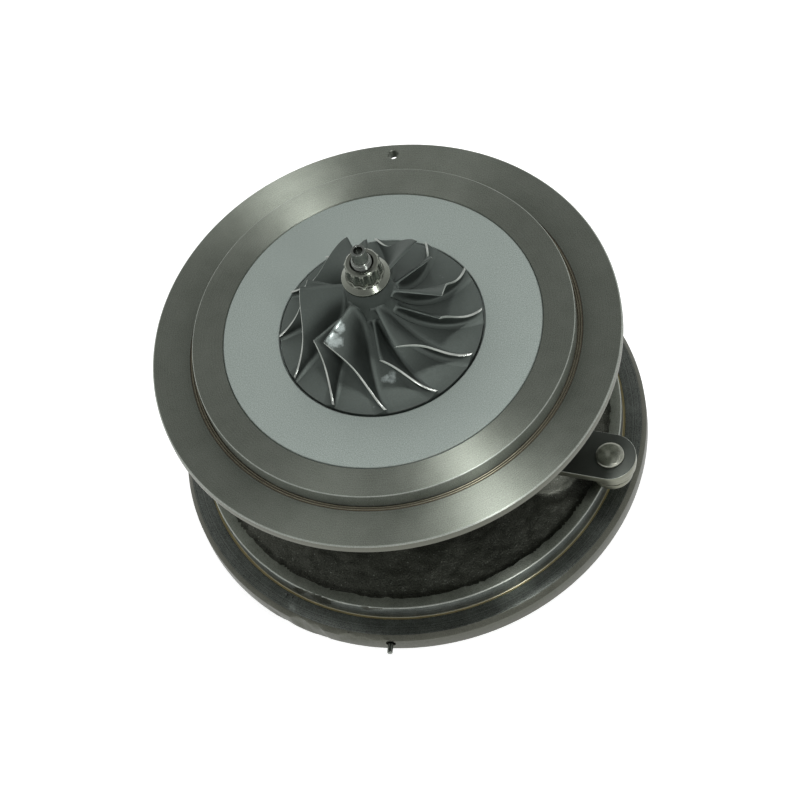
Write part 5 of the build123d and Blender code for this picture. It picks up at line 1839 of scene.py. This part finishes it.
@dataclass
class Studio:
    """Pale floor, soft surroundings and lamps."""

    floor_z: float = -91.1
    floor_w: float = 6000.0
    floor_colour: str = "#f4f5f4"
    floor_glow: float = 0.62
    horizon: float = 1.0
    horizon_up: float = 0.12
    middle_sky: float = 0.56
    middle_up: float = 0.6
    zenith_share: float = 0.68
    lamps: list[Lamp] = field(default_factory=lambda: [
        Lamp("overhead_lamp", 30.0, 82.7, 1100.0, 160.0, 4.0),
        Lamp("side_lamp", 165.0, 73.0, 1100.0, 260.0, 0.6),
        Lamp("front_lamp", -50.0, 40.0, 900.0, 170.0, 1.7),
    ])

    def world(self) -> None:
        """Makes soft surroundings, pale at the horizon and darker overhead."""
        world = bpy.data.worlds.new("studio")
        tree = cleared(world)
        up = add(tree, "ShaderNodeSeparateXYZ", {
            0: add(tree, "ShaderNodeTexCoord").outputs["Generated"]}).outputs["Z"]
        level = add(tree, "ShaderNodeMapRange", {
            "Value": up, "From Min": self.horizon_up, "From Max": self.middle_up,
            "To Min": self.horizon, "To Max": self.middle_sky}, interpolation_type="SMOOTHSTEP")
        share = add(tree, "ShaderNodeMapRange", {
            "Value": up, "From Min": self.middle_up, "From Max": 1.0,
            "To Min": 1.0, "To Max": self.zenith_share})
        strength = add(tree, "ShaderNodeMath", {
            0: level.outputs["Result"], 1: share.outputs["Result"]}, operation="MULTIPLY")
        glow = add(tree, "ShaderNodeBackground", {
            "Color": (1.0, 1.0, 1.0, 1.0), "Strength": strength.outputs[0]})
        add(tree, "ShaderNodeOutputWorld", {"Surface": glow.outputs[0]})
        bpy.context.scene.world = world

    def floor(self) -> None:
        """Lays a pale floor that keeps the part's shadow."""
        half = self.floor_w / 2 * MM
        z = self.floor_z * MM
        mesh = bpy.data.meshes.new("studio_floor")
        mesh.from_pydata([(-half, -half, z), (half, -half, z), (half, half, z), (-half, half, z)],
                         [], [(0, 1, 2, 3)])
        made = placed("studio_floor", mesh)
        material = bpy.data.materials.new("painted_floor")
        tree = cleared(material)
        paint = add(tree, "ShaderNodeBsdfPrincipled", {
            "Base Color": linear(self.floor_colour), "Roughness": 0.9, "Specular IOR Level": 0.1})
        path = add(tree, "ShaderNodeLightPath")
        seen = add(tree, "ShaderNodeMath", {
            0: path.outputs["Is Camera Ray"], 1: path.outputs["Is Glossy Ray"]}, operation="MAXIMUM")
        seen = add(tree, "ShaderNodeMath", {
            0: seen.outputs[0], 1: path.outputs["Is Transmission Ray"]}, operation="MAXIMUM")
        strength = add(tree, "ShaderNodeMath", {0: seen.outputs[0], 1: self.floor_glow},
                       operation="MULTIPLY")
        glow = add(tree, "ShaderNodeEmission", {"Strength": strength.outputs[0]})
        both = add(tree, "ShaderNodeAddShader", {0: paint.outputs[0], 1: glow.outputs[0]})
        add(tree, "ShaderNodeOutputMaterial", {"Surface": both.outputs[0]})
        mesh.materials.append(material)

    def set_up(self) -> None:
        """Makes the surroundings, the floor and the lamps."""
        bpy.context.scene.view_settings.view_transform = "Standard"
        self.world()
        self.floor()
        for lamp in self.lamps:
            lamp.place()


# Nodes that keep their own shape and only get a finish.
NODE_FINISHES = {
    "backplate_screws": SCREW_STEEL,
    "seal_plate_o_ring": RUBBER,
    "housing_o_ring": RUBBER,
    "journal_bearing": BRONZE,
    "bearing_pin": SHAFT_STEEL,
    "thrust_bearing": BRONZE,
    "oil_deflector": SHEET_STEEL,
    "thrust_bearing_screws": SCREW_STEEL,
    "compressor_seal_ring": GROUND_IRON,
    "turbine_seal_ring": GROUND_IRON,
    "heat_shield": SHEET_STEEL,
    "lever_bush": GROUND_IRON,
    "lever_seal_ring": GROUND_IRON,
    "rim_locating_pin": SHAFT_STEEL,
    "thrust_collar": SHAFT_STEEL,
    "oil_flinger": SHAFT_STEEL,
    "lever_shaft": LEVER_STEEL,
    "crank_arm": LEVER_STEEL,
    "crank_pin": PIN_STEEL,
}


def dress_nodes(nodes: dict[str, bpy.types.Object]) -> None:
    """Gives each kept node its finish.

    Args:
        nodes: The frame's objects, by node name.
    """
    for name, finish in NODE_FINISHES.items():
        mesh = nodes[name].data
        mesh.materials.clear()
        mesh.materials.append(finish.material())
        log.info("node %s gets %s", name, finish.name)


def main() -> None:
    """Builds the dressed part, the studio and the camera."""
    logging.basicConfig(level=logging.INFO, format="%(message)s")
    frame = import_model()
    Camera().place()
    dress_nodes(frame["nodes"])
    for assembly in (CentreHousing(), Backplate(), SealPlate(), CompressorWheel(), TurbineWheel(),
                     CompressorNut(), RotorShaft(), ControlLever()):
        assembly.build()
    Studio().set_up()


if __name__ == "__main__":
    main()
